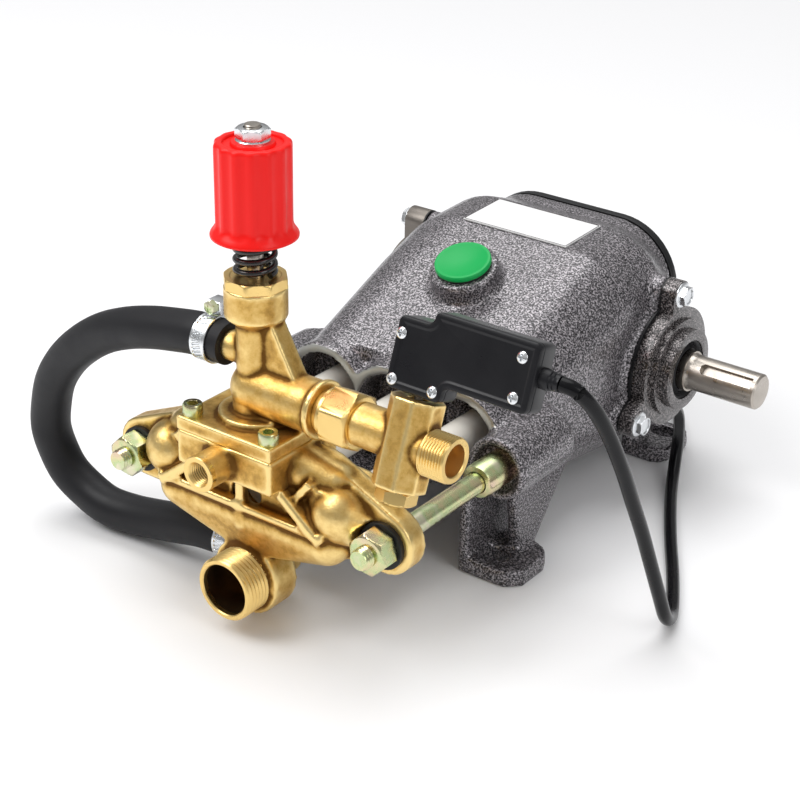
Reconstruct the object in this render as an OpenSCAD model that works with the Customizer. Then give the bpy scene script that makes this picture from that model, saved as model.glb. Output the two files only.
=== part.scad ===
// Three-plunger pressure washer pump.
// X runs along the crankshaft towards its driven end, Y from the valve head to the rear cover, Z up.
// The origin is the centre of the four foot holes, on the plane that the feet stand on.

$fn = 48;

/* [Crankcase] */
// Height of the crankshaft and plunger axes above the feet
axis_z = 70; // [66:1:80]
// Distance of the crankshaft axis behind the foot pattern's centre
crank_y = 54; // [50:1:58]
// Outside width of the crankcase between its side rings
case_w = 152; // [144:1:170]
// Wall thickness of the casting
wall = 7; // [5:0.5:8]
// Distance of the rear cover's seat behind the crankshaft axis
rear_reach = 33; // [32:1:40]
// Spacing of the foot holes across the pump
foot_dx = 136; // [130:1:150]
// Spacing of the foot holes along the pump
foot_dy = 176; // [170:1:190]
// Thickness of the feet
foot_t = 9; // [7:1:12]
// Radius of the foot slots
foot_hole_r = 5.5; // [4.5:0.5:6]

/* [Crank drive] */
// Distance between neighbouring plungers
pitch = 44; // [43:1:48]
// Crank throw, half of the plunger stroke
crank_throw = 6; // [4:0.5:6.5]
// Radius of the crankshaft's eccentric journals
journal_r = 17; // [16:0.5:18]
// Radius of the driven shaft end
shaft_r = 10; // [9:0.5:12]
// Distance of the driven shaft end from the pump's middle
shaft_end = 142; // [136:1:150]
// Distance between crankshaft axis and wrist pin
rod_len = 80; // [78:1:84]
// Radius of the crosshead guides
guide_r = 17; // [16.5:0.5:18]
// Radius of the plungers
plunger_r = 9; // [7:0.5:10]

/* [Valve head] */
// Spacing of the two tie rods
tie_dx = 153; // [148:1:160]
// Radius of the tie rods
tie_r = 6; // [5:0.5:7]
// Height of the tie rods above the feet
tie_z = 68; // [64:1:74]
// Front face of the head's ears
ear_y = -197; // [-200:1:-194]
// Thickness of the head's ears
ear_t = 12; // [9:1:14]
// Outside radius of the inlet thread
inlet_r = 16.6; // [14:0.1:18]
// Bore radius of the inlet
inlet_bore_r = 13.4; // [11:0.1:14]
// Height of the inlet axis above the feet
inlet_z = 26; // [24:1:28]

/* [Unloader and outlet] */
// Height of the unloader barrel's axis above the feet
barrel_z = 126; // [125:1:130]
// Radius of the unloader barrel
barrel_r = 13; // [11:0.5:14]
// Height of the unloader cap's top face
cap_top = 183; // [180:1:188]
// Gap that the pressure spring shows below the knob
spring_gap = 19; // [14:1:24]
// Height of the pressure knob
knob_h = 45; // [38:1:50]
// Radius of the pressure knob
knob_r = 18; // [16:0.5:20]
// Distance of the outlet tee from the pump's middle
tee_x = 89; // [87:1:95]
// Backward lean of the outlet tee and its switch
tee_lean = 20; // [0:1:30]
// Outside radius of the outlet thread
outlet_r = 11; // [10:0.5:12]
// Bore radius of the outlet
outlet_bore_r = 7.6; // [6:0.1:8]

/* [Hose and cable] */
// Outside radius of the bypass hose
hose_r = 10.7; // [9:0.1:11]
// Bore radius of the bypass hose
hose_bore_r = 6.5; // [5:0.5:7]
// Radius of the switch cable
cable_r = 3.5; // [3:0.1:4]

/* [Hidden] */

// Running clearance on a radius
run = 0.05;

half_w = case_w / 2;
ring_x = half_w + 4;
gasket_t = 1;
cover_x = ring_x + gasket_t;
flange_t = 8;
seal_face = cover_x + flange_t + 8;
left_flange_t = 13;
bearing_or = 31;
bearing_ir = 15;
bearing_w = 16;
bearing_in = half_w - bearing_w + 1;
room_w = bearing_in - 2;
rear_open = room_w - 6;
rear_half = half_w - 9;
seal_or = 17;
ring_r = 36;
bolt_pcr = 43;
bolt_angles = [90, 210, 330];
rear_y = crank_y + rear_reach;
rear_cover_y = rear_y + gasket_t;
rear_cover_t = 4.5;
drain_r = 5;
drain_z = 26;
guide_wall_y = -72;
guide_rear_y = 20;
lip_y = -92;
lobe_r = 27;
wrist_y = crank_y - rod_len;
crosshead_bore = guide_r - 3.6;
small_end_r = crosshead_bore - crank_throw - 1.4;
shank_half_w = small_end_r / 1.5;
shank_half_h = 0.75 * small_end_r;
pin_half_len = crosshead_bore - 4.4;
pin_r = small_end_r - 2.6;
big_end_r = journal_r + 6;
journal_w = 18;
web_r = journal_r + 5.5;
chamber_r = big_end_r + crank_throw + 2.5;
xs = [-pitch, 0, pitch];
phases = [0, 120, 240];
ear_r = 16;
washer_r = 12;
lug_r = 17;
lug_y = -106;
nut_y = ear_y - 2.5;
rod_front_y = ear_y - 19;
head_back = ear_y + ear_t;
packing_y = head_back + 14;
valve_y = ear_y - 1;
tee_y = -196;
barrel_end = 41;
nut_x = 46;
nut_len = 16;
outlet_z = -1.5;
knob_z = cap_top + spring_gap;
nut_h = 6.5;
nut_af = 14;
cap_lean = 20;
cap_y = -29;
cap_z = 137;
filler_r = 11;
box_front = -9;
box_back = 5;
relief_y = -0.5;
relief_z = 46;
block_y = -222;
block_depth = 50;
block_top = 104.4;
flange_h = 7.2;
cover_screw_ys = [block_y + 6, block_y + block_depth - 6];
block_low = 87;
port_x = -2;
port_z = 95;
port_r = 5.9;
inlet_y = -224;
barb_y = -180;
barb_z = 23;
hose_x0 = -17;
hose_end_x = -21;
stem_r = 4;
switch_screw_places = [[-11.5, 46], [-10, 26], [10, 26], [51, 53], [51, 34]];

// Points of the bypass hose, from the unloader's barb round to the inlet's barb
hose_points = [
    [-17, -196, 143], [-34, -196, 143], [-52, -195.5, 140], [-70, -195, 136], [-88, -194, 130],
    [-105, -193, 122], [-121, -192, 111], [-135, -191, 98], [-146, -190, 83], [-153, -188, 67],
    [-156, -187, 51], [-154, -185, 37], [-147, -184, 25], [-135, -183, 17], [-120, -183, 12.5],
    [-103, -181, 12], [-86, -180, 14.5], [-70, -180, 18], [-54, -180, 21.5], [-36, -180, 23],
    [-21, -180, 23]
];

// Points of the switch cable, from the strain relief over the surface to the coil behind the pump
cable_points = [
    [157, -180.7, 169.4], [163.5, -179, 167.5], [168, -170, 156], [170, -159, 139], [171, -147, 118],
    [171, -135, 96], [171, -123, 74], [171, -112, 52], [171, -101, 30], [170.5, -91, 12],
    [167, -78, 4.4], [158, -60, 3.6], [146, -39, 3.6], [132, -16, 3.6], [118, 8, 3.6],
    [106, 30, 3.6], [98, 46, 5], [92, 59, 10], [86, 72, 12.8], [79, 86, 12.8], [71, 100, 12.8],
    [63, 113, 10], [54, 126, 5], [43, 138, 3.6], [28, 146, 3.6], [10, 150, 3.6], [-10, 152, 3.6]
];
coil_mid_r = 38;
coil_x = -24;
coil_y = 152 + coil_mid_r;

// ---------- shared shapes ----------

// Cylinder along +Y from y0 to y1
module ycyl(r, y0, y1, x = 0, z = 0) {
    translate([x, y0, z])
        rotate([-90, 0, 0])
            cylinder(r = r, h = y1 - y0);
}

// Cylinder along +X from x0 to x1
module xcyl(r, x0, x1, y = 0, z = 0) {
    translate([x0, y, z])
        rotate([0, 90, 0])
            cylinder(r = r, h = x1 - x0);
}

// Cylinder along +Z from z0 to z1
module zcyl(r, z0, z1, x = 0, y = 0) {
    translate([x, y, z0])
        cylinder(r = r, h = z1 - z0);
}

// Hexagonal prism along +Z, by its width across flats
module hex(af, h) {
    cylinder(r = af / sqrt(3), h = h, $fn = 6);
}

// Plane outline in X and Z, extruded along +Y from y0 to y1
module yslab(y0, y1) {
    translate([0, y1, 0])
        rotate([90, 0, 0])
            linear_extrude(y1 - y0)
                children();
}

// Plane outline in Y and Z, extruded along +X from x0 to x1
module xslab(x0, x1) {
    translate([x0, 0, 0])
        rotate([90, 0, 90])
            linear_extrude(x1 - x0)
                children();
}

// Copies on both sides of the YZ plane
module both() {
    children();
    mirror([1, 0, 0])
        children();
}

// ---------- crankcase ----------

// Smooth main shell, a loft of four upright sections
module case_shell() {
    // each section: place along Y, half width, bottom, top, corner radius
    stations = [
        [-82, half_w - 8, 32, 98, 26], [-12, half_w - 2, 18, 127, 36],
        [20, half_w, 14, 137, 38], [58, half_w, 12, 138.5, 38], [rear_y - 8, half_w - 7, 13, 132, 39]
    ];
    hull()
        for (s = stations, sx = [-1, 1], z = [s[2] + s[4], s[3] - s[4]])
            translate([sx * (s[1] - s[4]), s[0], z])
                rotate([-90, 0, 0])
                    cylinder(r = s[4], h = 0.5, $fn = 32);
}

// Outline shared by the rear flange, its gasket and its cover
module rear_outline() {
    hull()
        for (sx = [-1, 1]) {
            translate([sx * (half_w - 48), 96])
                circle(r = 38);
            translate([sx * (half_w - 44), 46])
                circle(r = 34);
        }
}

// Places of the rear cover's screws, in X and Z
rear_holes = [
    for (sx = [-1, 1], p = [[half_w - 32, 122], [half_w - 17, 94], [half_w - 17, 48], [half_w - 30, 24]])
        [sx * p[0], p[1]]
];

// One foot at the right side: pad, inner web and, on the front feet, a wide outer web
module foot(y, reach, outer) {
    fx = foot_dx / 2;
    pad_x = outer ? 10 : 2;
    pad_y = outer ? 2 : -8;
    translate([fx - 14, y + pad_y - 18, 0])
        cube([14 + pad_x, 38, foot_t]);
    translate([fx, y + pad_y - 10, 0])
        cube([pad_x + 12, 22, foot_t]);
    for (dy = [-6, 8])
        zcyl(12, 0, foot_t, fx + pad_x, y + pad_y + dy);
    xslab(fx - 14, fx - 8)
        polygon([[y + pad_y - 18, 0], [y + pad_y + 18, 0], [y + reach, 56], [y + pad_y - 18, 56]]);
    if (outer)
        xslab(fx + 2, fx + 8)
            polygon([[y + 8, 2], [y + 22, 2], [y + 62, 52], [y + 40, 62], [y + 2, 62]]);
}

// Slot through the foot at the right side
module foot_slot(y) {
    for (dx = [-2.5, 2.5])
        zcyl(foot_hole_r, -1, foot_t + 1, foot_dx / 2 + dx, y);
    translate([foot_dx / 2 - 2.5, y - foot_hole_r, -1])
        cube([5, 2 * foot_hole_r, foot_t + 2]);
}

// Outside of the crankcase, before its inside is cut
module crankcase_solid() {
    case_shell();
    // three guide tubes, whose ends make the scalloped front lip
    for (x = xs)
        ycyl(lobe_r, lip_y, 0, x, axis_z);
    // trough under the plungers
    difference() {
        ycyl(41, -162, -60, 0, tie_z);
        ycyl(35, -163, -59, 0, tie_z);
        translate([-60, -163, tie_z - 14])
            cube([120, 104, 80]);
    }
    translate([-3.5, -162, 11])
        cube([7, 102, 20]);
    both() {
        // lugs that take the tie rods
        ycyl(lug_r, lug_y, -56, tie_dx / 2, tie_z);
        translate([half_w - 30, -88, tie_z - lug_r])
            cube([30, 34, 2 * lug_r]);
        foot(-foot_dy / 2, 44, true);
        foot(foot_dy / 2, -4, false);
        // side rings with three ears for the bearing covers
        xcyl(ring_r, half_w - 14, ring_x, crank_y, axis_z);
        for (a = bolt_angles)
            xcyl(8, half_w - 22, ring_x, crank_y + bolt_pcr * cos(a), axis_z + bolt_pcr * sin(a));
    }
    // rear flange
    yslab(rear_y - 9, rear_y)
        rear_outline();
    // filler neck, square to the sloping roof
    translate([0, cap_y, cap_z])
        rotate([cap_lean, 0, 0])
            translate([0, 0, -30])
                cylinder(r = 19, h = 25.5);
}

// Crankcase with the crank chamber, the guide bores and the screw holes
module crankcase() {
    color("#4a4a4e")
        difference() {
            crankcase_solid();
            // crank chamber
            xcyl(chamber_r, -room_w, room_w, crank_y, axis_z);
            translate([-rear_open, crank_y, axis_z - chamber_r])
                cube([2 * rear_open, rear_reach + 1, 2 * chamber_r]);
            // room for the rear cover between the side rings
            translate([-rear_half, rear_y, foot_t + 1])
                cube([2 * rear_half, 20, 160]);
            translate([-room_w + 1, 4, axis_z - 22])
                cube([2 * room_w - 2, 40, 44]);
            for (x = xs) {
                // crosshead guides, rod holes and open front pockets
                ycyl(guide_r, guide_wall_y + 8, guide_rear_y, x, axis_z);
                ycyl(plunger_r + 0.4, guide_wall_y - 1, guide_wall_y + 9, x, axis_z);
                ycyl(14, guide_wall_y - 1, guide_wall_y + 3, x, axis_z);
                ycyl(pitch / 2 - 1, lip_y - 1, guide_wall_y, x, axis_z);
            }
            // bearing seats
            both()
                xcyl(bearing_or, room_w, ring_x + 1, crank_y, axis_z);
            // tie rod seats
            both() {
                ycyl(tie_r + 0.3, lug_y - 1, -66, tie_dx / 2, tie_z);
                ycyl(13, lug_y - 1, lug_y + 8, tie_dx / 2, tie_z);
            }
            // foot slots
            for (sy = [-1, 1])
                both()
                    foot_slot(sy * foot_dy / 2);
            // threaded holes of the bearing covers and rear cover
            both()
                for (a = bolt_angles)
                    xcyl(3, half_w - 16, ring_x + 1,
                        crank_y + bolt_pcr * cos(a), axis_z + bolt_pcr * sin(a));
            for (p = rear_holes)
                ycyl(2.5, rear_y - 8, rear_y + 1, p[0], p[1]);
            // filler bore
            translate([0, cap_y, cap_z])
                rotate([cap_lean, 0, 0])
                    translate([0, 0, -60])
                        cylinder(r = filler_r, h = 60);
            // drain bore, and its way up to the crank chamber
            ycyl(drain_r, crank_y, rear_y + 1, 0, drain_z);
            zcyl(drain_r - 1, drain_z, axis_z, 0, crank_y);
        }
}

// Gasket between the casing and the rear cover
module rear_gasket() {
    color("#161616")
        difference() {
            yslab(rear_y, rear_cover_y)
                rear_outline();
            yslab(rear_y - 1, rear_cover_y + 1)
                intersection() {
                    offset(delta = -12)
                        rear_outline();
                    square([2 * (half_w - wall), 400], center = true);
                }
            for (p = rear_holes)
                ycyl(3.2, rear_y - 1, rear_cover_y + 1, p[0], p[1]);
            ycyl(drain_r + 0.3, rear_y - 1, rear_cover_y + 1, 0, drain_z);
        }
}

// Rear cover plate with a raised panel and a round level boss
module rear_cover() {
    color("#1d1d1f")
        difference() {
            union() {
                yslab(rear_cover_y, rear_cover_y + rear_cover_t)
                    rear_outline();
                yslab(rear_cover_y + rear_cover_t - 1, rear_cover_y + rear_cover_t + 3)
                    square_round(90, 64, 14);
                ycyl(14, rear_cover_y + 2, rear_cover_y + rear_cover_t + 6, 0, axis_z - 8);
            }
            for (p = rear_holes)
                ycyl(3.2, rear_y - 1, rear_cover_y + 20, p[0], p[1]);
            ycyl(drain_r + 0.2, rear_y - 1, rear_cover_y + 20, 0, drain_z);
        }
}

// Rounded rectangle round the crankshaft's height, in X and Z
module square_round(w, h, r) {
    translate([0, axis_z]) {
        square([w - 2 * r, h], center = true);
        square([w, h - 2 * r], center = true);
        for (sx = [-1, 1], sz = [-1, 1])
            translate([sx * (w / 2 - r), sz * (h / 2 - r)])
                circle(r = r);
    }
}

// Eight button screws round the rear cover
module rear_cover_screws() {
    color("#b9bcc0")
        for (p = rear_holes)
            translate([p[0], rear_cover_y + rear_cover_t, p[1]])
                rotate([-90, 0, 0]) {
                    hex(8, 4.5);
                    translate([0, 0, -10.5])
                        cylinder(r = 2.5, h = 11);
                }
}

// ---------- bearing covers ----------

// Flat shape of a bearing cover: a disc with three ears
module cover_blank(x0, x1, r) {
    xcyl(r, x0, x1, crank_y, axis_z);
    for (a = bolt_angles)
        xcyl(8, x0, x1, crank_y + bolt_pcr * cos(a), axis_z + bolt_pcr * sin(a));
    // each ear runs straight into the disc
    for (a = bolt_angles)
        translate([x0, crank_y, axis_z])
            rotate([a, 0, 0])
                translate([0, 0, -8])
                    cube([x1 - x0, bolt_pcr, 16]);
}

// Holes for the three bolts of a bearing cover
module cover_bolt_holes(x0, x1) {
    for (a = bolt_angles)
        xcyl(3.4, x0, x1, crank_y + bolt_pcr * cos(a), axis_z + bolt_pcr * sin(a));
}

// Paper rings between the case and its bearing covers
module bearing_gaskets() {
    color("#111111")
        both()
            difference() {
                cover_blank(ring_x, cover_x, ring_r);
                xcyl(bearing_or + 0.3, ring_x - 1, cover_x + 1, crank_y, axis_z);
                cover_bolt_holes(ring_x - 1, cover_x + 1);
            }
}

// Cover on the driven side, with a stepped boss that holds the oil seal
module bearing_cover_right() {
    color("#4a4a4e")
        difference() {
            union() {
                cover_blank(cover_x, cover_x + flange_t, 34);
                xcyl(28, cover_x, cover_x + flange_t + 3, crank_y, axis_z);
                xcyl(23, cover_x, seal_face, crank_y, axis_z);
                xcyl(bearing_or - run, ring_x - 4, cover_x + 1, crank_y, axis_z);
            }
            xcyl(shaft_r + 3, ring_x - 5, seal_face + 1, crank_y, axis_z);
            xcyl(bearing_or - 5, ring_x - 5, cover_x + 2, crank_y, axis_z);
            xcyl(seal_or, seal_face - 7.5, seal_face + 1, crank_y, axis_z);
            cover_bolt_holes(cover_x - 1, seal_face);
        }
}

// Blind cover on the other side
module bearing_cover_left() {
    color("#8d8a82")
        mirror([1, 0, 0])
            difference() {
                union() {
                    cover_blank(cover_x, cover_x + left_flange_t, 34);
                    xcyl(25, cover_x, cover_x + left_flange_t + 3, crank_y, axis_z);
                    xcyl(bearing_or - run, ring_x - 4, cover_x + 1, crank_y, axis_z);
                }
                xcyl(bearing_or - 5, ring_x - 5, cover_x + 4, crank_y, axis_z);
                cover_bolt_holes(cover_x - 1, seal_face);
            }
}

// Three flanged hexagon bolts through a flange of thickness t, at the right side
module flange_bolts(t) {
    for (a = bolt_angles)
        translate([cover_x + t, crank_y + bolt_pcr * cos(a), axis_z + bolt_pcr * sin(a)])
            rotate([0, 90, 0]) {
                cylinder(r = 7.2, h = 1.4);
                hex(10, 6.2);
                translate([0, 0, -t - gasket_t - 12])
                    cylinder(r = 3, h = t + gasket_t + 13);
            }
}

// Three hexagon flange bolts on each bearing cover
module bearing_cover_bolts() {
    color("#c4c7ca") {
        flange_bolts(flange_t);
        mirror([1, 0, 0])
            flange_bolts(left_flange_t);
    }
}

// ---------- crank drive ----------

// Crankshaft with three throws, and the keyed end that the motor drives
module crankshaft() {
    color("#9a948a")
        difference() {
            union() {
                both()
                    xcyl(bearing_ir, bearing_in - 1, ring_x - 3, crank_y, axis_z);
                xcyl(shaft_r, ring_x - 4, shaft_end - 1, crank_y, axis_z);
                translate([shaft_end - 1, crank_y, axis_z])
                    rotate([0, 90, 0])
                        cylinder(r1 = shaft_r, r2 = shaft_r - 1, h = 1);
                xcyl(shaft_r + 1.5, ring_x - 4, seal_face + 3, crank_y, axis_z);
                for (i = [0:2])
                    translate([0, crank_throw * cos(phases[i]), crank_throw * sin(phases[i])])
                        xcyl(journal_r, xs[i] - journal_w / 2, xs[i] + journal_w / 2, crank_y, axis_z);
                // webs between the journals
                both() {
                    xcyl(web_r, journal_w / 2, pitch - journal_w / 2, crank_y, axis_z);
                    xcyl(web_r, pitch + journal_w / 2, bearing_in, crank_y, axis_z);
                }
            }
            // keyway
            translate([shaft_end - 34, crank_y - 3, axis_z])
                rotate([45, 0, 0])
                    translate([0, 0, shaft_r - 3.5])
                        cube([31, 6, 6]);
        }
}

// Outer rings of the two ball bearings, held in the case
module bearing_outer_rings() {
    color("#a9adb2")
        both() {
            difference() {
                xcyl(bearing_or - run, bearing_in, ring_x - 5, crank_y, axis_z);
                xcyl(bearing_or - 5, half_w - bearing_w, ring_x - 4, crank_y, axis_z);
            }
        }
}

// Inner rings of the two ball bearings, pressed on the shaft
module bearing_inner_rings() {
    color("#b4b8bd")
        both() {
            difference() {
                xcyl(bearing_ir + 4.5, bearing_in, ring_x - 5, crank_y, axis_z);
                xcyl(bearing_ir, half_w - bearing_w, ring_x - 4, crank_y, axis_z);
            }
        }
}

// Seal between the shaft and the right bearing cover
module oil_seal() {
    color("#3c3f42")
        difference() {
            xcyl(seal_or, seal_face - 7, seal_face - 0.6, crank_y, axis_z);
            xcyl(shaft_r + 1.5 + run, seal_face - 8, seal_face + 1, crank_y, axis_z);
        }
}

// Connecting rod with its wrist pin, drawn level; the wrist pivot is left open
module connecting_rod(i) {
    dy = crank_throw * cos(phases[i]);
    dz = crank_throw * sin(phases[i]);
    color("#8f9499")
        translate([xs[i], dy, dz])
            difference() {
                union() {
                    xcyl(big_end_r, -6, 6, crank_y, axis_z);
                    translate([-shank_half_w, wrist_y, axis_z - shank_half_h])
                        cube([2 * shank_half_w, rod_len - journal_r, 2 * shank_half_h]);
                    xcyl(small_end_r, -shank_half_h, shank_half_h, wrist_y, axis_z);
                    xcyl(pin_r, -pin_half_len, pin_half_len, wrist_y, axis_z);
                }
                xcyl(journal_r + run, -7, 7, crank_y, axis_z);
            }
}

// Crosshead: a hollow piston, open to the rear
module crosshead(i) {
    front = wrist_y - 6 - 2 * crank_throw - 1.5 - 12;
    color("#a8abb0")
        difference() {
            ycyl(guide_r - run, front, wrist_y + 16, xs[i], axis_z);
            ycyl(crosshead_bore, front + 12, wrist_y + 17, xs[i], axis_z);
            ycyl(4, front - 1, front + 8, xs[i], axis_z);
        }
}

// Plunger: ceramic sleeve on a stud that screws into the crosshead
module plunger(i) {
    front = wrist_y - 6 - 2 * crank_throw - 1.5 - 12;
    color("#e9e6dd") {
        ycyl(plunger_r - run, ear_y + 2, front, xs[i], axis_z);
        ycyl(4, front - 1, front + 8, xs[i], axis_z);
    }
}

// ---------- valve head ----------

// Three stacked packing rings round each plunger
module packings() {
    color("#6b3d1e")
        for (x = xs, k = [0:2])
            difference() {
                ycyl(13.5, head_back + k * 3.5, head_back + 3 + k * 3.5, x, axis_z);
                ycyl(plunger_r, head_back - 1, packing_y + 1, x, axis_z);
            }
}

// Brass rings that hold the packings in
module packing_retainers() {
    color("#b8914a")
        for (x = xs)
            difference() {
                ycyl(13.5, head_back + 10.5, packing_y + 1.5, x, axis_z);
                ycyl(plunger_r + 0.4, head_back + 9, packing_y + 3, x, axis_z);
            }
}

// Dome round an outer valve chamber and the arm of the discharge gallery above it, at the right
module head_lobe() {
    hull() {
        translate([53, ear_y - 1, 77])
            sphere(r = 15, $fn = 32);
        translate([62, ear_y + 2, 72])
            sphere(r = 11, $fn = 32);
    }
    hull() {
        translate([28, ear_y + 1, 92])
            sphere(r = 12, $fn = 32);
        translate([47, ear_y + 3, 89])
            sphere(r = 10, $fn = 32);
    }
    // tower round the valve bore
    zcyl(9.5, 52, 90, pitch, valve_y);
    // ribs that frame the dome
    yslab(ear_y - 17, ear_y)
        polygon([[24.5, 82], [28, 86], [52, 67], [49, 63]]);
    yslab(ear_y - 13, ear_y)
        polygon([[29, 80], [33, 79], [44, 92], [40, 94]]);
}

// Outside of the brass valve head, before its ways are bored
module manifold_solid() {
    // rear plate with an ear at each end
    hull()
        both() {
            ycyl(ear_r, ear_y, head_back, tie_dx / 2, tie_z, $fn = 64);
            ycyl(17, ear_y, head_back, 38, 84, $fn = 64);
        }
    // packing towers behind the plate
    for (x = xs)
        ycyl(17, head_back - 1, packing_y, x, axis_z);
    // inlet gallery, a long body with round ends
    hull() {
        for (sx = [-1, 1])
            translate([sx * 46, ear_y - 3, 60])
                sphere(r = 12, $fn = 32);
        ycyl(15, ear_y - 10, ear_y, 0, 54, $fn = 64);
    }
    head_lobe();
    mirror([1, 0, 0])
        head_lobe();
    // raised ledge between inlet and discharge galleries
    yslab(ear_y - 16, ear_y)
        translate([0, 68])
            square([104, 4], center = true);
    // centre block below the unloader
    translate([-29, block_y, block_low])
        cube([58, block_depth, block_top - block_low]);
    translate([-26, ear_y - 9, 56])
        cube([52, 18, block_low - 55]);
    // small port boss
    ycyl(port_r + 3, block_y - 15, block_y + 2, port_x, port_z);
    // upright rib from the block down to the inlet
    xslab(-2.5, 2.5)
        polygon([[ear_y - 15, block_low + 1], [ear_y - 15, 56], [inlet_y + 17, 46], [inlet_y + 17, 36],
            [ear_y, 36], [ear_y, block_low + 1]]);
    // inlet: thread, shoulder and casting
    ycyl(inlet_r, inlet_y, inlet_y + 18, 0, inlet_z);
    ycyl(20, inlet_y + 16, ear_y + 5, 0, inlet_z);
    ycyl(11, ear_y, barb_y + 8, -4, barb_z);
    translate([-13, inlet_y + 16, inlet_z])
        cube([26, head_back - inlet_y - 16, 34]);
    // hose barb of the bypass
    xcyl(8, hose_end_x + 0.5, 0, barb_y, barb_z);
    xcyl(hose_bore_r, -44, -10, barb_y, barb_z);
}

// Brass valve head, with its galleries and the bores of three cylinders
module manifold() {
    color("#c99a3c")
        difference() {
            manifold_solid();
            // inlet bore, and its way up to the gallery
            ycyl(inlet_bore_r, inlet_y - 1, head_back - 6, 0, inlet_z);
            zcyl(8, inlet_z, 56, 0, valve_y);
            // inlet and discharge galleries
            xcyl(3.5, -50, 50, valve_y, 54.5);
            xcyl(4, -46, 46, valve_y, 88);
            // plunger bores, packing seats and valve bores
            for (x = xs) {
                ycyl(plunger_r + 0.4, ear_y - 9, packing_y + 1, x, axis_z);
                ycyl(13.5, head_back, packing_y + 1, x, axis_z);
                zcyl(6, 55.5, 86, x, valve_y);
                zcyl(4, 53, 56, x, valve_y);
            }
            // tie rod holes
            both()
                ycyl(tie_r + 0.5, ear_y - 1, head_back + 1, tie_dx / 2, tie_z);
            // spot faces under the tie nuts' washers
            both()
                ycyl(washer_r + 0.6, ear_y - 24, ear_y, tie_dx / 2, tie_z);
            // small port
            ycyl(port_r, block_y - 16, block_y + 8, port_x, port_z);
            // bypass bore
            xcyl(4.5, -45, -2, barb_y, barb_z);
            ycyl(4.5, ear_y - 8, barb_y, -4, barb_z);
            // cover screw holes and the way up to the unloader
            for (sx = [-1, 1], y = cover_screw_ys)
                zcyl(2.5, 92, block_top + 1, sx * 23.5, y);
            zcyl(7, 86, block_top + 1, 0, valve_y);
        }
}

// Seats of the three inlet and three outlet valves
module valve_seats() {
    color("#b9bcc0")
        for (x = xs, z = [55.5, 80.5])
            difference() {
                zcyl(6, z, z + 2, x, valve_y);
                zcyl(3.6, z - 1, z + 3, x, valve_y);
            }
}

// Valve disc with its guide stub
module valve_disc(x, z) {
    color("#d5d8da") {
        zcyl(4.6, z, z + 1.2, x, valve_y);
        zcyl(3.2, z - 1.6, z + 0.1, x, valve_y);
    }
}

// ---------- tie rods ----------

// Two rods that pull the valve head to the crankcase
module tie_rods() {
    color("#b9b072")
        both()
            ycyl(tie_r - 0.5, rod_front_y, lug_y + 36, tie_dx / 2, tie_z);
}

// Hexagon nuts at the front of the tie rods
module tie_nuts() {
    color("#c9bf7c")
        both()
            translate([tie_dx / 2, nut_y, tie_z])
                rotate([90, 15, 0])
                    difference() {
                        hex(19, 11);
                        translate([0, 0, -1])
                            cylinder(r = tie_r - 0.5, h = 13);
                    }
}

// Dark washers under the nuts of the tie rods
module tie_washers() {
    color("#2a2a2a")
        both()
            difference() {
                ycyl(washer_r, nut_y, ear_y, tie_dx / 2, tie_z);
                ycyl(tie_r - 0.5, nut_y - 1, ear_y + 1, tie_dx / 2, tie_z);
            }
}

// Round nuts that lock the rods against the crankcase lugs
module lock_nuts() {
    color("#c9bf7c")
        both()
            difference() {
                ycyl(9, -122, lug_y + 8, tie_dx / 2, tie_z);
                ycyl(tie_r - 0.5, -123, lug_y + 9, tie_dx / 2, tie_z);
            }
}

// ---------- unloader ----------

// Brass body of the unloader, with its barb, its bores and the barrel of the union
module unloader_body() {
    color("#c99a3c")
        difference() {
            union() {
                // flange plate on the centre block, with a raised round boss
                translate([-29, block_y, block_top])
                    cube([58, block_depth, flange_h]);
                zcyl(19, block_top + flange_h - 1, block_top + flange_h + 3, 0, tee_y);
                // barrel across the pump
                xcyl(barrel_r, 0, barrel_end - 1, tee_y, barrel_z);
                translate([0, tee_y, barrel_z])
                    sphere(r = barrel_r);
                xcyl(barrel_r + 1.5, barrel_end - 3, barrel_end, tee_y, barrel_z);
                zcyl(barrel_r - 1, block_top, barrel_z, 0, tee_y);
                // neck and collar
                zcyl(9.8, barrel_z, cap_top - 18, 0, tee_y);
                zcyl(15, cap_top - 20, cap_top - 5, 0, tee_y);
                translate([0, tee_y, cap_top - 24])
                    cylinder(r1 = 9.8, r2 = 15, h = 4.1);
                // slanting rib
                yslab(tee_y - 5, tee_y + 5)
                    polygon([[6, cap_top - 20], [13, cap_top - 20], [29, barrel_z + 8], [6, barrel_z + 8]]);
                // barb boss and barb
                xcyl(7.5, hose_x0 + 0.5, 0, tee_y, hose_points[0][2]);
                xcyl(hose_bore_r, hose_x0 - 24, 0, tee_y, hose_points[0][2]);
            }
            zcyl(6, block_top - 1, cap_top, 0, tee_y);
            xcyl(7, 0, barrel_end + 2, tee_y, barrel_z);
            xcyl(4.5, hose_x0 - 25, 0, tee_y, hose_points[0][2]);
            for (sx = [-1, 1], y = cover_screw_ys)
                zcyl(3.3, block_top - 1, block_top + flange_h + 1, sx * 23.5, y);
            zcyl(11, cap_top - 12, cap_top, 0, tee_y);
        }
}

// Eight-sided screw cap that guides the stem
module unloader_cap() {
    color("#d2a84a")
        difference() {
            union() {
                translate([0, tee_y, cap_top - 5])
                    rotate([0, 0, 22.5])
                        cylinder(r = 15.6, h = 5, $fn = 8);
                zcyl(11, cap_top - 12, cap_top - 4, 0, tee_y);
            }
            zcyl(stem_r + run, cap_top - 13, cap_top + 1, 0, tee_y);
        }
}

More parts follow.
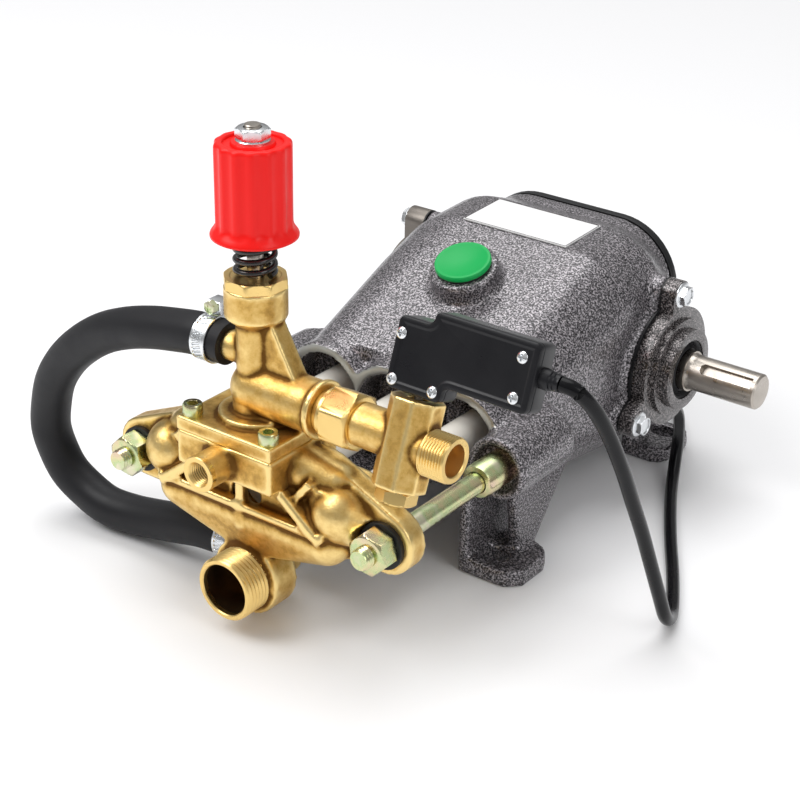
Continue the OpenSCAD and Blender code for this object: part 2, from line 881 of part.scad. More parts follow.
// Four socket screws that hold the unloader on the head
module cover_screws() {
    color("#c9c28a")
        for (sx = [-1, 1], y = cover_screw_ys)
            translate([sx * 23.5, y, block_top + flange_h])
                difference() {
                    union() {
                        cylinder(r = 4.9, h = 6);
                        translate([0, 0, -18])
                            cylinder(r = 2.5, h = 19);
                    }
                    translate([0, 0, 3])
                        hex(5, 4);
                }
}

// Seat that the stud turns in on top of the spring
module spring_plate() {
    color("#55585c")
        difference() {
            zcyl(11, knob_z - 1.5, knob_z - 0.1, 0, tee_y);
            zcyl(stem_r + run, knob_z - 2, knob_z + 1, 0, tee_y);
        }
}

// Threaded stud that the knob is screwed on
module adjuster_stem() {
    color("#2b2b2d")
        zcyl(stem_r, cap_top - 26, knob_z + knob_h + nut_h + 1.5, 0, tee_y);
}

// Wire of the pressure spring, wound as a stack of touching-free turns
module pressure_spring() {
    turns = 3.4;
    n = 68;
    wire = 1.5;
    coil_r = 9;
    lift = spring_gap - 1.5 - 2 * wire;
    rings = [for (i = [0:n])
        let (a = 360 * turns * i / n, z = cap_top + wire + lift * i / n)
            [for (k = [0:7])
                [(coil_r + wire * cos(45 * k)) * cos(a), (coil_r + wire * cos(45 * k)) * sin(a),
                    z + wire * sin(45 * k)]]];
    color("#151515")
        translate([0, tee_y, 0])
            sweep(rings);
}

// Closed tube through a list of equal rings of points
module sweep(rings) {
    n = len(rings);
    k = len(rings[0]);
    pts = [for (r = rings, p = r) p];
    sides = [for (i = [0:n - 2], j = [0:k - 1])
        [i * k + j, i * k + (j + 1) % k, (i + 1) * k + (j + 1) % k, (i + 1) * k + j]];
    ends = [[for (j = [k - 1:-1:0]) j], [for (j = [0:k - 1]) (n - 1) * k + j]];
    polyhedron(points = pts, faces = concat(sides, ends), convexity = 10);
}

// Fluted pressure knob on the threaded stud
module knob() {
    color("#e0201c")
        difference() {
            union() {
                zcyl(knob_r, knob_z, knob_z + knob_h, 0, tee_y);
                translate([0, tee_y, knob_z])
                    cylinder(r1 = knob_r + 2.5, r2 = knob_r, h = 5);
            }
            zcyl(stem_r, knob_z - 1, knob_z + knob_h + 1, 0, tee_y);
            // flutes and top recess
            for (a = [0:360 / 14:359])
                translate([(knob_r + 5.2) * cos(a), tee_y + (knob_r + 5.2) * sin(a), knob_z + 6])
                    cylinder(r = 6, h = knob_h);
            difference() {
                zcyl(14, knob_z + knob_h - 1.5, knob_z + knob_h + 1, 0, tee_y);
                zcyl(10, knob_z + knob_h - 2, knob_z + knob_h, 0, tee_y);
            }
        }
}

// Flange nut that locks the knob on its stud
module knob_nut() {
    color("#c9cdd0")
        difference() {
            union() {
                translate([0, tee_y, knob_z + knob_h + 1])
                    hex(nut_af, nut_h - 1);
                zcyl(8, knob_z + knob_h, knob_z + knob_h + 1.2, 0, tee_y);
            }
            zcyl(stem_r, knob_z + knob_h - 1, knob_z + knob_h + nut_h + 1, 0, tee_y);
        }
}

// ---------- hose ----------

// Unit vector
function unit(v) = v / norm(v);

// Rings of a round tube along a list of points; side is a direction that the run never follows
function tube_rings(pts, r, k, side) =
    [for (i = [0:len(pts) - 1])
        let (
            t = unit(pts[min(i + 1, len(pts) - 1)] - pts[max(i - 1, 0)]),
            u = unit(cross(side, t)),
            v = cross(t, u)
        )
            [for (j = [0:k - 1]) pts[i] + r * (cos(360 * j / k) * u + sin(360 * j / k) * v)]];

// Rubber hose from the unloader back to the inlet
module bypass_hose() {
    color("#1c1c1e")
        difference() {
            sweep(tube_rings(hose_points, hose_r, 12, [0, 1, 0]));
            xcyl(hose_bore_r, hose_x0 - 25, hose_x0 + 5, tee_y, hose_points[0][2]);
            xcyl(hose_bore_r, -46, -15, barb_y, barb_z);
        }
}

// One worm-drive band at a point of the hose
module clamp_at(x, y, z) {
    difference() {
        union() {
            xcyl(hose_r + 1.4, x - 5, x + 5, y, z);
            translate([x - 4, y + 2, z + hose_r])
                cube([8, 9, 7.5]);
        }
        xcyl(hose_r + 0.5, x - 6, x + 6, y, z);
    }
}

// Bands at the two ends of the bypass hose
module hose_clamps() {
    color("#c6cacc") {
        clamp_at(hose_x0 - 11, tee_y, hose_points[0][2]);
        clamp_at(-33, barb_y, barb_z);
    }
}

// Worm screws of the two bands
module clamp_screws() {
    color("#c8b765")
        for (p = [[hose_x0 - 11, tee_y, hose_points[0][2]], [-33, barb_y, barb_z]])
            translate([p[0], p[1] + 2, p[2] + hose_r + 5.4])
                rotate([90, 0, 0])
                    hex(6, 4.5);
}

// ---------- outlet tee and pressure switch ----------

// Frame of the tee: its own upright axis leans back
module on_tee() {
    translate([tee_x, tee_y, barrel_z])
        rotate([-tee_lean, 0, 0])
            children();
}

// Hexagon nut of the union between unloader and outlet tee
module union_nut() {
    color("#d2a84a")
        difference() {
            union() {
                translate([nut_x, tee_y, barrel_z])
                    rotate([0, 90, 0])
                        hex(26, nut_len);
                xcyl(10.5, barrel_end, nut_x + 1, tee_y, barrel_z);
            }
            xcyl(8.6, barrel_end - 1, nut_x + nut_len + 1, tee_y, barrel_z);
        }
}

// Brass outlet tee with its threaded outlet and the neck of the switch
module outlet_tee() {
    color("#c99a3c")
        on_tee()
            difference() {
                union() {
                    // faceted upright body
                    translate([0, 0, -22])
                        rotate([0, 0, 22.5])
                            cylinder(r = 13, h = 42, $fn = 8);
                    // union stub
                    xcyl(8.5, barrel_end - tee_x, 0, 0, 0);
                    xcyl(10.5, nut_x + nut_len - tee_x, -4, 0, 0);
                    // outlet
                    xcyl(9.6, 0, 14, 0, outlet_z);
                    xcyl(outlet_r, 12.5, 26, 0, outlet_z);
                }
                zcyl(5, -20, 21, 0, 0);
                xcyl(5.5, barrel_end - 1 - tee_x, 0, 0, 0);
                xcyl(outlet_bore_r, 2, 27, 0, outlet_z);
            }
}

// Hexagon plug in the foot of the tee
module tee_plug() {
    color("#c99a3c")
        on_tee()
            translate([0, 0, -29])
                hex(17, 7);
}

// Small piston that the water pushes against the switch
module switch_piston() {
    color("#b9bcc0")
        on_tee() {
            zcyl(4.9, 7.5, 14, 0, 0);
            zcyl(2, 13, 31, 0, 0);
        }
}

// Outline of the switch box, in the tee's X and Z, shrunk by a wall
module box_outline(inset) {
    offset(delta = -inset)
        union() {
            translate([-14, 22])
                square([30, 33]);
            translate([4, 29.5])
                square([55, 31.5]);
        }
}

// Rear half of the switch box
module switch_housing() {
    color("#19191b")
        on_tee()
            difference() {
                union() {
                    yslab(box_front + 4, box_back)
                        box_outline(0);
                    zcyl(9, 20, 22, 0, 0);
                    zcyl(4.5, 20, 24, 0, 0);
                }
                yslab(box_front + 3, box_back - 2)
                    box_outline(2);
                zcyl(2.4, 19, 26, 0, 0);
                xcyl(3.5, 50, 60, relief_y, relief_z);
            }
}

// Switch block inside the box
module micro_switch() {
    color("#2f2a26")
        on_tee()
            translate([-4, -4, 36])
                cube([24, 6, 14]);
}

// Front half of the switch box
module switch_cover() {
    color("#1f1f22")
        on_tee() {
            yslab(box_front + 0.8, box_front + 4)
                box_outline(0);
            yslab(box_front, box_front + 1)
                box_outline(2.5);
        }
}

// Five cross-head screws of the switch box
module switch_screws() {
    color("#d8dadb")
        on_tee()
            for (p = switch_screw_places)
                ycyl(2.7, box_front - 1.2, box_front, p[0], p[1]);
}

// Grommet that holds the cable where it leaves the box
module strain_relief() {
    color("#17171a")
        on_tee() {
            xcyl(4.8, 59, 62, relief_y, relief_z);
            translate([62, relief_y, relief_z])
                rotate([0, 90, 0])
                    cylinder(r1 = 4.6, r2 = 4, h = 6);
            xcyl(3.5, 47, 60, relief_y, relief_z);
        }
}

// Cable from the switch box down to the coil behind the pump
module switch_cable() {
    color("#161618")
        sweep(tube_rings(cable_points, cable_r, 8, [0.6, 0.5, -0.62]));
}

// Outer shape of the coil of spare cable
module cable_coil() {
    color("#161618")
        translate([coil_x, coil_y, 0])
            rotate_extrude()
                translate([coil_mid_r - cable_r * 2, 0.1])
                    square([cable_r * 4, cable_r * 4]);
}

// ---------- small parts ----------

// Frame of the oil filler's leaning neck
module on_neck() {
    translate([0, cap_y, cap_z])
        rotate([cap_lean, 0, 0])
            children();
}

// Screw cap of the oil filler with its black seal ring
module oil_filler_cap() {
    color("#21c45d")
        on_neck() {
            translate([0, 0, -3])
                cylinder(r = 15.5, h = 3);
            translate([0, 0, -4.5])
                cylinder(r = 14, h = 2);
            translate([0, 0, -16])
                cylinder(r = filler_r - run, h = 12);
        }
}

// Blank plate on the sloping top of the case
module label_plate() {
    color("#f4f4f4")
        translate([0, 38, 137.9])
            rotate([2, 0, 0])
                translate([-34, -18, -0.2])
                    cube([68, 36, 0.9]);
}

// Hexagon oil drain plug in the rear cover
module drain_plug() {
    color("#b9bcc0")
        translate([0, rear_cover_y + rear_cover_t, drain_z])
            rotate([-90, 0, 0]) {
                cylinder(r = 9, h = 1.5);
                hex(14, 7);
                translate([0, 0, -18])
                    cylinder(r = drain_r, h = 19);
            }
}

crankcase();
rear_gasket();
rear_cover();
rear_cover_screws();
bearing_gaskets();
bearing_cover_right();
bearing_cover_left();
bearing_cover_bolts();
crankshaft();
bearing_outer_rings();
bearing_inner_rings();
oil_seal();
connecting_rod(0);  // connecting_rod_1
connecting_rod(1);  // connecting_rod_2
connecting_rod(2);  // connecting_rod_3
crosshead(0);  // crosshead_1
crosshead(1);  // crosshead_2
crosshead(2);  // crosshead_3
plunger(0);  // plunger_1
plunger(1);  // plunger_2
plunger(2);  // plunger_3
packings();
packing_retainers();
manifold();
valve_seats();
valve_disc(xs[0], 57.5);  // inlet_valve_1
valve_disc(xs[1], 57.5);  // inlet_valve_2
valve_disc(xs[2], 57.5);  // inlet_valve_3
valve_disc(xs[0], 82.5);  // outlet_valve_1
valve_disc(xs[1], 82.5);  // outlet_valve_2
valve_disc(xs[2], 82.5);  // outlet_valve_3
tie_rods();
tie_nuts();
tie_washers();
lock_nuts();
unloader_body();
unloader_cap();
cover_screws();
spring_plate();
adjuster_stem();
pressure_spring();
knob();
knob_nut();
bypass_hose();
hose_clamps();
clamp_screws();
union_nut();
outlet_tee();
tee_plug();
switch_piston();
switch_housing();
micro_switch();
switch_cover();
switch_screws();
strain_relief();
switch_cable();
cable_coil();
oil_filler_cap();
label_plate();
drain_plug();
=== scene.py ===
# %% [markdown]
# # Pressure washer pump
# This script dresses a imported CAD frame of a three-plunger pump. The frame gives every part its place,
# and each cell below replaces or finishes some of those parts. Lengths are in metres, X runs along the
# crankshaft, Y from the brass head to the rear cover and Z up.

import math

import bmesh
import bpy
import numpy as np
from mathutils import Matrix, Vector


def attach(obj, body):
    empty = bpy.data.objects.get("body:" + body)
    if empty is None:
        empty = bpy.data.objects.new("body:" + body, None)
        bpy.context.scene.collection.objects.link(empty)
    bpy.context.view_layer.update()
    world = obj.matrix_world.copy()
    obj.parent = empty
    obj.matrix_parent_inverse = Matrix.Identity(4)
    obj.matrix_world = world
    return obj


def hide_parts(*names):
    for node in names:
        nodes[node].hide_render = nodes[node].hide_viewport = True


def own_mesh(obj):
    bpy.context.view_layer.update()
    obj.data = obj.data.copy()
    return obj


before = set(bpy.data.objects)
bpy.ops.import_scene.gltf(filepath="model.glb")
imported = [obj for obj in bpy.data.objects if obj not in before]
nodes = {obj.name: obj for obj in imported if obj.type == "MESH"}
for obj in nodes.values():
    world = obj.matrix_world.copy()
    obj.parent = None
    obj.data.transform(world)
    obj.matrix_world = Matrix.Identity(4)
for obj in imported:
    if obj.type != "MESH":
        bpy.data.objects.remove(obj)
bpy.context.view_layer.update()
MM = 0.001

# %% [markdown]
# ## Places
# The pump's main axes, from which the new pieces take their places: the crank, the tie rods, and the
# upright axis of the unloader with its knob.

# %% Places
CRANK = np.array([0, 54, 70]) * MM
TIE_X, TIE_Z = 76.5, 68
NUT_Y = -199.5
UNLOADER_Y = -196
CAP_TOP = 183

# %% [markdown]
# ## Camera
# A catalogue view of a machine is taken with a long lens, so that its parallel edges stay nearly
# parallel. The camera's three axes are worked out from its azimuth, its height angle and a small roll,
# and put straight into its matrix, which is easier to read than three mixed rotations.

# %% Camera
AZIMUTH, ELEVATION, ROLL = (math.radians(a) for a in (36.45, 26.63, 1.06))
back = np.array([math.sin(AZIMUTH) * math.cos(ELEVATION),
                 -math.cos(AZIMUTH) * math.cos(ELEVATION), math.sin(ELEVATION)])
right = np.cross([0, 0, 1], back)
right /= np.linalg.norm(right)
up = np.cross(back, right)
right, up = (right * math.cos(ROLL) + up * math.sin(ROLL),
             up * math.cos(ROLL) - right * math.sin(ROLL))
camera_data = bpy.data.cameras.new("camera")
camera_data.sensor_width = 36
camera_data.lens = 83.565
camera_data.clip_end = 30
camera = bpy.data.objects.new("camera", camera_data)
turned = Matrix(np.stack([right, up, back], 1).tolist()).to_4x4()
camera.matrix_world = Matrix.Translation((0.52098, -0.78812, 0.51393)) @ turned
bpy.context.scene.collection.objects.link(camera)
bpy.context.scene.camera = camera

# %% [markdown]
# ## Helpers for surfaces
# Every new piece is a grid of points: a shape as a function of two parameters. The faces of a grid are
# always the same quads, so one function numbers them, and another makes the mesh, welds the points
# that meet at a pole or a seam, turns the faces outwards and marks the sharp edges.

# %% Grid, mesh and place
def grid_faces(rows, cols):
    """Quads of a grid of rows x cols points; the last column joins the first one."""
    i, j = np.meshgrid(np.arange(rows - 1), np.arange(cols), indexing="ij")
    beside = (j + 1) % cols
    corners = [i * cols + j, i * cols + beside, (i + 1) * cols + beside, (i + 1) * cols + j]
    return np.stack(corners, -1).reshape(-1, 4)


def finish_mesh(mesh, sharp=35):
    """Welds doubled points, turns faces outwards, and shades smooth except over edges above an angle."""
    work = bmesh.new()
    work.from_mesh(mesh)
    bmesh.ops.remove_doubles(work, verts=work.verts, dist=2e-6)
    bmesh.ops.recalc_face_normals(work, faces=work.faces)
    work.to_mesh(mesh)
    work.free()
    mesh.polygons.foreach_set("use_smooth", np.ones(len(mesh.polygons), bool))
    mesh.set_sharp_from_angle(angle=math.radians(sharp))


def new_piece(name, grids, material, body, stands_for=(), sharp=35):
    """One object from a list of grids of points, in metres."""
    points, faces, count = [], [], 0
    for grid in grids:
        rows, cols = grid.shape[:2]
        points.append(grid.reshape(-1, 3))
        faces.append(grid_faces(rows, cols) + count)
        count += rows * cols
    mesh = bpy.data.meshes.new(name)
    mesh.from_pydata(np.concatenate(points).tolist(), [], np.concatenate(faces).tolist())
    finish_mesh(mesh, sharp)
    return put_on(name, mesh, material, body, stands_for)


def put_on(name, mesh, material, body, stands_for=()):
    """The mesh as an object that rides on a CAD body and, where named, stands for CAD nodes."""
    piece = bpy.data.objects.new(name, mesh)
    bpy.context.scene.collection.objects.link(piece)
    mesh.materials.clear()
    mesh.materials.append(material)
    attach(piece, body)
    if stands_for:
        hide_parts(*stands_for)
    return piece


def placed(points, origin, along=(0, 0, 1), turn=0.0):
    """Local points moved so that their Z runs along a direction from an origin, turned about it."""
    axis = np.array(along, float) / np.linalg.norm(along)
    side = np.cross([0, 0, 1], axis)
    side = np.array([1.0, 0, 0]) if np.linalg.norm(side) < 1e-6 else side / np.linalg.norm(side)
    across = np.cross(axis, side)
    x = side * math.cos(turn) + across * math.sin(turn)
    y = across * math.cos(turn) - side * math.sin(turn)
    return np.asarray(points) @ np.stack([x, y, axis]) + np.array(origin, float)


def around(count):
    """Angles of a closed ring."""
    return np.linspace(0, 2 * np.pi, count, endpoint=False)


def ring_grid(radius, height, angles):
    """Points at (radius cos, radius sin, height), where radius and height are rows or whole grids."""
    radius = np.broadcast_to(radius if np.ndim(radius) == 2 else np.array(radius)[:, None],
                             (len(radius), len(angles)))
    height = np.broadcast_to(height if np.ndim(height) == 2 else np.array(height)[:, None],
                             radius.shape)
    return np.stack([radius * np.cos(angles), radius * np.sin(angles), height], -1)


def lathe(profile, count=64):
    """A profile of (radius, height) points in mm, turned round the Z axis."""
    profile = np.array(profile, float) * MM
    return ring_grid(profile[:, 0], profile[:, 1], around(count))

# %% [markdown]
# ## Cords
# The switch's cable and the bypass hose are cords: a centreline and a round section. The centreline is
# a curve through listed points, and the section is carried along it on two directions square to
# the run, so the tube never twists or pinches. The spare cable is wound in three turns behind the pump.

# %% Centrelines
def smooth_line(points, step):
    """A Catmull-Rom curve through the points, read at about one point every step along it."""
    p = np.concatenate([[2 * points[0] - points[1]], points, [2 * points[-1] - points[-2]]])
    spans = []
    for a, b, c, d in zip(p[:-3], p[1:-2], p[2:-1], p[3:]):
        t = np.linspace(0, 1, max(2, math.ceil(np.linalg.norm(c - b) / step)), endpoint=False)[:, None]
        spans.append(0.5 * (2 * b + (c - a) * t + (2 * a - 5 * b + 4 * c - d) * t**2
                            + (3 * b - a - 3 * c + d) * t**3))
    return np.concatenate([*spans, points[-1:]])


def length_of(line):
    return float(np.linalg.norm(np.diff(line, axis=0), axis=1).sum())


def tube(line, radius, count, side):
    """A round section carried along the line; side is a direction that the line never follows."""
    t = np.gradient(line, axis=0)
    t /= np.linalg.norm(t, axis=1)[:, None]
    u = np.cross(side, t)
    u /= np.linalg.norm(u, axis=1)[:, None]
    v = np.cross(t, u)
    a = around(count)[None, :, None]
    radius = np.broadcast_to(radius, len(line))[:, None, None]
    return line[:, None] + radius * (np.cos(a) * u[:, None] + np.sin(a) * v[:, None])


def with_ends(grid):
    """The same tube with a point at the middle of each end, so that it is closed."""
    ends = [np.repeat(grid[k].mean(0)[None, None], grid.shape[1], 1) for k in (0, -1)]
    return np.concatenate([ends[0], grid, ends[1]])


hose_points = np.array([
    [-17, -196, 143], [-34, -196, 143], [-52, -195.5, 140], [-70, -195, 136], [-88, -194, 130],
    [-105, -193, 122], [-121, -192, 111], [-135, -191, 98], [-146, -190, 83], [-153, -188, 67],
    [-156, -187, 51], [-154, -185, 37], [-147, -184, 25], [-135, -183, 17], [-120, -183, 12.5],
    [-103, -181, 12], [-86, -180, 14.5], [-70, -180, 18], [-54, -180, 21.5], [-36, -180, 23],
    [-21, -180, 23]]) * MM
cable_points = np.array([
    [157, -180.7, 169.4], [163.5, -179, 167.5], [168, -170, 156], [170, -159, 139], [171, -147, 118],
    [171, -135, 96], [171, -123, 74], [171, -112, 52], [171, -101, 30], [170.5, -91, 12],
    [167, -78, 4.4], [158, -60, 3.6], [146, -39, 3.6], [132, -16, 3.6], [118, 8, 3.6],
    [106, 30, 3.6], [98, 46, 5], [92, 59, 10], [86, 72, 12.8], [79, 86, 12.8], [71, 100, 12.8],
    [63, 113, 10], [54, 126, 5], [43, 138, 3.6], [28, 146, 3.6], [10, 150, 3.6]]) * MM
turn = np.radians(np.arange(80, 1181, 20.0))
coil_radius = np.interp(np.degrees(turn), [390, 450, 1110, 1170], [41.5, 34.5, 34.5, 41.5])
coil_height = np.interp(np.degrees(turn), [690, 760], [3.6, 10.7])
coil_points = np.stack([-24 + coil_radius * np.cos(turn), 190 - coil_radius * np.sin(turn),
                        coil_height], 1) * MM
hose_line = smooth_line(hose_points, 2.5 * MM)
cable_line = smooth_line(np.concatenate([cable_points, coil_points]), 3 * MM)
print("hose", round(length_of(hose_line), 4), "cable", round(length_of(cable_line), 4))

# %% [markdown]
# ## Shader groups
# Three effects come back in many of the finishes: a fine grain, a colour that is dark in hollows and
# bright on edges, and the uneven gloss of handled metal. Each is a node group, built once. They read
# Object coordinates, so the pattern keeps its real size on every piece.

# %% Node helpers
def add_node(tree, kind, values=None, **settings):
    """A shader node with some of its properties and input values set."""
    node = tree.nodes.new(kind)
    for key, value in settings.items():
        setattr(node, key, value)
    for key, value in (values or {}).items():
        node.inputs[key].default_value = value
    return node


def new_group(name, inputs, outputs):
    """An empty node group with float or colour sockets: inputs are (name, value), outputs (name, kind)."""
    group = bpy.data.node_groups.new(name, "ShaderNodeTree")
    for label, value in inputs:
        kind = "NodeSocketColor" if isinstance(value, tuple) else "NodeSocketFloat"
        group.interface.new_socket(label, in_out="INPUT", socket_type=kind).default_value = value
    for label, kind in outputs:
        group.interface.new_socket(label, in_out="OUTPUT", socket_type="NodeSocket" + kind)
    return group, group.nodes.new("NodeGroupInput"), group.nodes.new("NodeGroupOutput")


def wire(tree, *pairs):
    """Links from each output to its input."""
    for output, socket in pairs:
        tree.links.new(output, socket)


def ramp(tree, factor, stops):
    """A colour ramp from (position, colour) stops, fed by a socket."""
    node = tree.nodes.new("ShaderNodeValToRGB")
    while len(node.color_ramp.elements) < len(stops):
        node.color_ramp.elements.new(0.5)
    for element, (position, colour) in zip(node.color_ramp.elements, stops):
        element.position = position
        element.color = (*colour, 1) if len(colour) == 3 else (colour[0],) * 3 + (1,)
    tree.links.new(factor, node.inputs["Fac"])
    return node.outputs["Color"]

# %% Grain, patina and gloss groups
grain_group, gin, gout = new_group(
    "fine_grain", [("Size", 1.0), ("Roughen", 0.5)], [("Grain", "Float"), ("Height", "Float")])
where = add_node(grain_group, "ShaderNodeTexCoord")
scale = add_node(grain_group, "ShaderNodeMath", {0: 1000.0}, operation="DIVIDE")
grain_group.links.new(gin.outputs["Size"], scale.inputs[1])
fine = add_node(grain_group, "ShaderNodeTexNoise", {"Detail": 2.0, "Roughness": 0.55})
wire(grain_group, (where.outputs["Object"], fine.inputs["Vector"]),
     (scale.outputs[0], fine.inputs["Scale"]))
coarse_scale = add_node(grain_group, "ShaderNodeMath", {1: 0.22}, operation="MULTIPLY")
grain_group.links.new(scale.outputs[0], coarse_scale.inputs[0])
coarse = add_node(grain_group, "ShaderNodeTexNoise", {"Detail": 1.0})
wire(grain_group, (where.outputs["Object"], coarse.inputs["Vector"]),
     (coarse_scale.outputs[0], coarse.inputs["Scale"]))
blended = add_node(grain_group, "ShaderNodeMix", data_type="FLOAT")
wire(grain_group, (gin.outputs["Roughen"], blended.inputs["Factor"]),
     (fine.outputs["Fac"], blended.inputs["A"]), (coarse.outputs["Fac"], blended.inputs["B"]),
     (fine.outputs["Fac"], gout.inputs["Grain"]), (blended.outputs["Result"], gout.inputs["Height"]))

patina_group, gin, gout = new_group(
    "patina", [("Relief", 0.5), ("Hollow", (0.2, 0.1, 0.03, 1)), ("Face", (0.6, 0.4, 0.1, 1)),
               ("Edge", (0.9, 0.7, 0.3, 1)), ("Mottle", 0.2)],
    [("Color", "Color"), ("Gloss", "Float")])
where = add_node(patina_group, "ShaderNodeTexCoord")
mottle = add_node(patina_group, "ShaderNodeTexNoise", {"Scale": 160.0, "Detail": 4.0, "Roughness": 0.65})
patina_group.links.new(where.outputs["Object"], mottle.inputs["Vector"])
centred = add_node(patina_group, "ShaderNodeMath", {1: 0.5}, operation="SUBTRACT")
patina_group.links.new(mottle.outputs["Fac"], centred.inputs[0])
stained = add_node(patina_group, "ShaderNodeMath", operation="MULTIPLY_ADD")
wire(patina_group, (centred.outputs[0], stained.inputs[0]), (gin.outputs["Mottle"], stained.inputs[1]),
     (gin.outputs["Relief"], stained.inputs[2]))
low = add_node(patina_group, "ShaderNodeMapRange", {"From Min": 0.2, "From Max": 0.52}, clamp=True)
high = add_node(patina_group, "ShaderNodeMapRange", {"From Min": 0.5, "From Max": 0.8}, clamp=True)
first = add_node(patina_group, "ShaderNodeMix", data_type="RGBA")
second = add_node(patina_group, "ShaderNodeMix", data_type="RGBA")
for share in (low, high):
    patina_group.links.new(stained.outputs[0], share.inputs["Value"])
wire(patina_group, (low.outputs["Result"], first.inputs["Factor"]),
     (gin.outputs["Hollow"], first.inputs["A"]), (gin.outputs["Face"], first.inputs["B"]),
     (high.outputs["Result"], second.inputs["Factor"]), (first.outputs["Result"], second.inputs["A"]),
     (gin.outputs["Edge"], second.inputs["B"]), (second.outputs["Result"], gout.inputs["Color"]),
     (stained.outputs[0], gout.inputs["Gloss"]))

gloss_group, gin, gout = new_group(
    "uneven_gloss", [("Low", 0.2), ("High", 0.4), ("Scale", 60.0)],
    [("Roughness", "Float"), ("Fac", "Float")])
where = add_node(gloss_group, "ShaderNodeTexCoord")
cloud = add_node(gloss_group, "ShaderNodeTexNoise", {"Detail": 5.0, "Roughness": 0.6})
wire(gloss_group, (where.outputs["Object"], cloud.inputs["Vector"]),
     (gin.outputs["Scale"], cloud.inputs["Scale"]))
spread = add_node(gloss_group, "ShaderNodeMapRange", {"From Min": 0.35, "From Max": 0.65}, clamp=True)
wire(gloss_group, (cloud.outputs["Fac"], spread.inputs["Value"]),
     (gin.outputs["Low"], spread.inputs["To Min"]), (gin.outputs["High"], spread.inputs["To Max"]),
     (spread.outputs["Result"], gout.inputs["Roughness"]), (cloud.outputs["Fac"], gout.inputs["Fac"]))

# %% [markdown]
# ## Finishes
# A finish starts from the Principled shader. Numbers that are the same all over stay on the shader;
# what changes over the surface comes from a group. Bump is in metres: a sand-cast grain is about a
# tenth of a millimetre high.

# %% Finish helper
def new_finish(name, colour, metallic=0.0, roughness=0.5, coat=0.0, specular=0.5):
    """A material with a plain Principled shader."""
    material = bpy.data.materials.new(name)
    material.use_nodes = True
    shader = material.node_tree.nodes["Principled BSDF"]
    shader.inputs["Base Color"].default_value = (*colour, 1)
    shader.inputs["Metallic"].default_value = metallic
    shader.inputs["Roughness"].default_value = roughness
    shader.inputs["Coat Weight"].default_value = coat
    shader.inputs["Coat Roughness"].default_value = 0.12
    shader.inputs["Specular IOR Level"].default_value = specular
    return material, material.node_tree, shader


def add_group(tree, group, **values):
    node = tree.nodes.new("ShaderNodeGroup")
    node.node_tree = group
    for key, value in values.items():
        node.inputs[key].default_value = value
    return node


def add_grain(tree, shader, size, depth, roughen=0.3):
    """A bump from the grain group: size in mm, depth in mm."""
    grain = add_group(tree, grain_group, Size=size, Roughen=roughen)
    bump = add_node(tree, "ShaderNodeBump", {"Strength": 1.0, "Distance": depth * MM})
    tree.links.new(grain.outputs["Height"], bump.inputs["Height"])
    tree.links.new(bump.outputs["Normal"], shader.inputs["Normal"])
    return grain


def add_gloss(tree, shader, low, high, scale=60.0):
    gloss = add_group(tree, gloss_group, Low=low, High=high, Scale=scale)
    tree.links.new(gloss.outputs["Roughness"], shader.inputs["Roughness"])
    return gloss

# %% [markdown]
# Hammered paint sets in small cells: pale metal flakes pool in some and dark lacquer in others. A fine
# noise pushed through a steep ramp gives the two tones, and its height dents the gloss coat.

# %% Hammered paint
def hammered(name, dark, middle, light, roughness):
    """Two-tone hammered paint from three greys."""
    material, tree, shader = new_finish(name, (0.2, 0.2, 0.2), 0.45, roughness, 0.35)
    grain = add_grain(tree, shader, 0.95, 0.16, 0.15)
    tone = ramp(tree, grain.outputs["Grain"], [(0.38, dark), (0.5, middle), (0.63, light)])
    tree.links.new(tone, shader.inputs["Base Color"])
    return material


hammer_paint = hammered("hammer_paint", (0.012, 0.011, 0.013), (0.105, 0.098, 0.106),
                        (0.46, 0.43, 0.455), 0.36)
# A darker copy of the hammered paint for the right bearing cover, which faces away from the key light:
# painted shade.
hammer_paint_painted_shade = hammered("hammer_paint_painted_shade", (0.008, 0.007, 0.007), (0.045, 0.040, 0.040),
                       (0.30, 0.27, 0.27), 0.26)

# %% [markdown]
# Cast brass comes out of its sand mould rough and is never polished: brown in the hollows, golden on
# the faces and bare on the edges. A "relief" attribute, measured on each casting, drives the patina.

# %% Brass
def brass_casting(name, hollow, face, edge, roughness, grain_depth, mottle):
    material, tree, shader = new_finish(name, face, 1.0, roughness)
    relief = add_node(tree, "ShaderNodeAttribute", attribute_name="relief")
    patina = add_group(tree, patina_group, Mottle=mottle)
    for key, colour in (("Hollow", hollow), ("Face", face), ("Edge", edge)):
        patina.inputs[key].default_value = (*colour, 1)
    tree.links.new(relief.outputs["Fac"], patina.inputs["Relief"])
    tree.links.new(patina.outputs["Color"], shader.inputs["Base Color"])
    gloss = add_node(tree, "ShaderNodeMapRange", {"From Min": 0.2, "From Max": 0.8,
                                                  "To Min": roughness + 0.16, "To Max": roughness - 0.1})
    tree.links.new(patina.outputs["Gloss"], gloss.inputs["Value"])
    tree.links.new(gloss.outputs["Result"], shader.inputs["Roughness"])
    add_grain(tree, shader, 0.8, grain_depth, 0.35)
    return material


cast_brass = brass_casting("cast_brass", (0.17, 0.08, 0.018), (0.64, 0.40, 0.11), (0.90, 0.67, 0.28),
                           0.42, 0.21, 0.65)


def turned_metal(name, colour, low, high, line_depth=0.01):
    """Machined metal: uneven gloss and fine random tool marks."""
    material, tree, shader = new_finish(name, colour, 1.0, low)
    add_gloss(tree, shader, low, high, 90.0)
    add_grain(tree, shader, 0.35, line_depth, 0.2)
    return material


turned_brass = turned_metal("turned_brass", (0.84, 0.60, 0.23), 0.25, 0.38)
copper_bore = turned_metal("copper_bore", (0.88, 0.62, 0.28), 0.34, 0.48)
# The inlet's deep bore takes a very dark brown copy of the turned brass: painted shade for the hollow, not
# the metal's own colour.
bore_painted_shade = turned_metal("bore_painted_shade", (0.20, 0.12, 0.06), 0.32, 0.5)

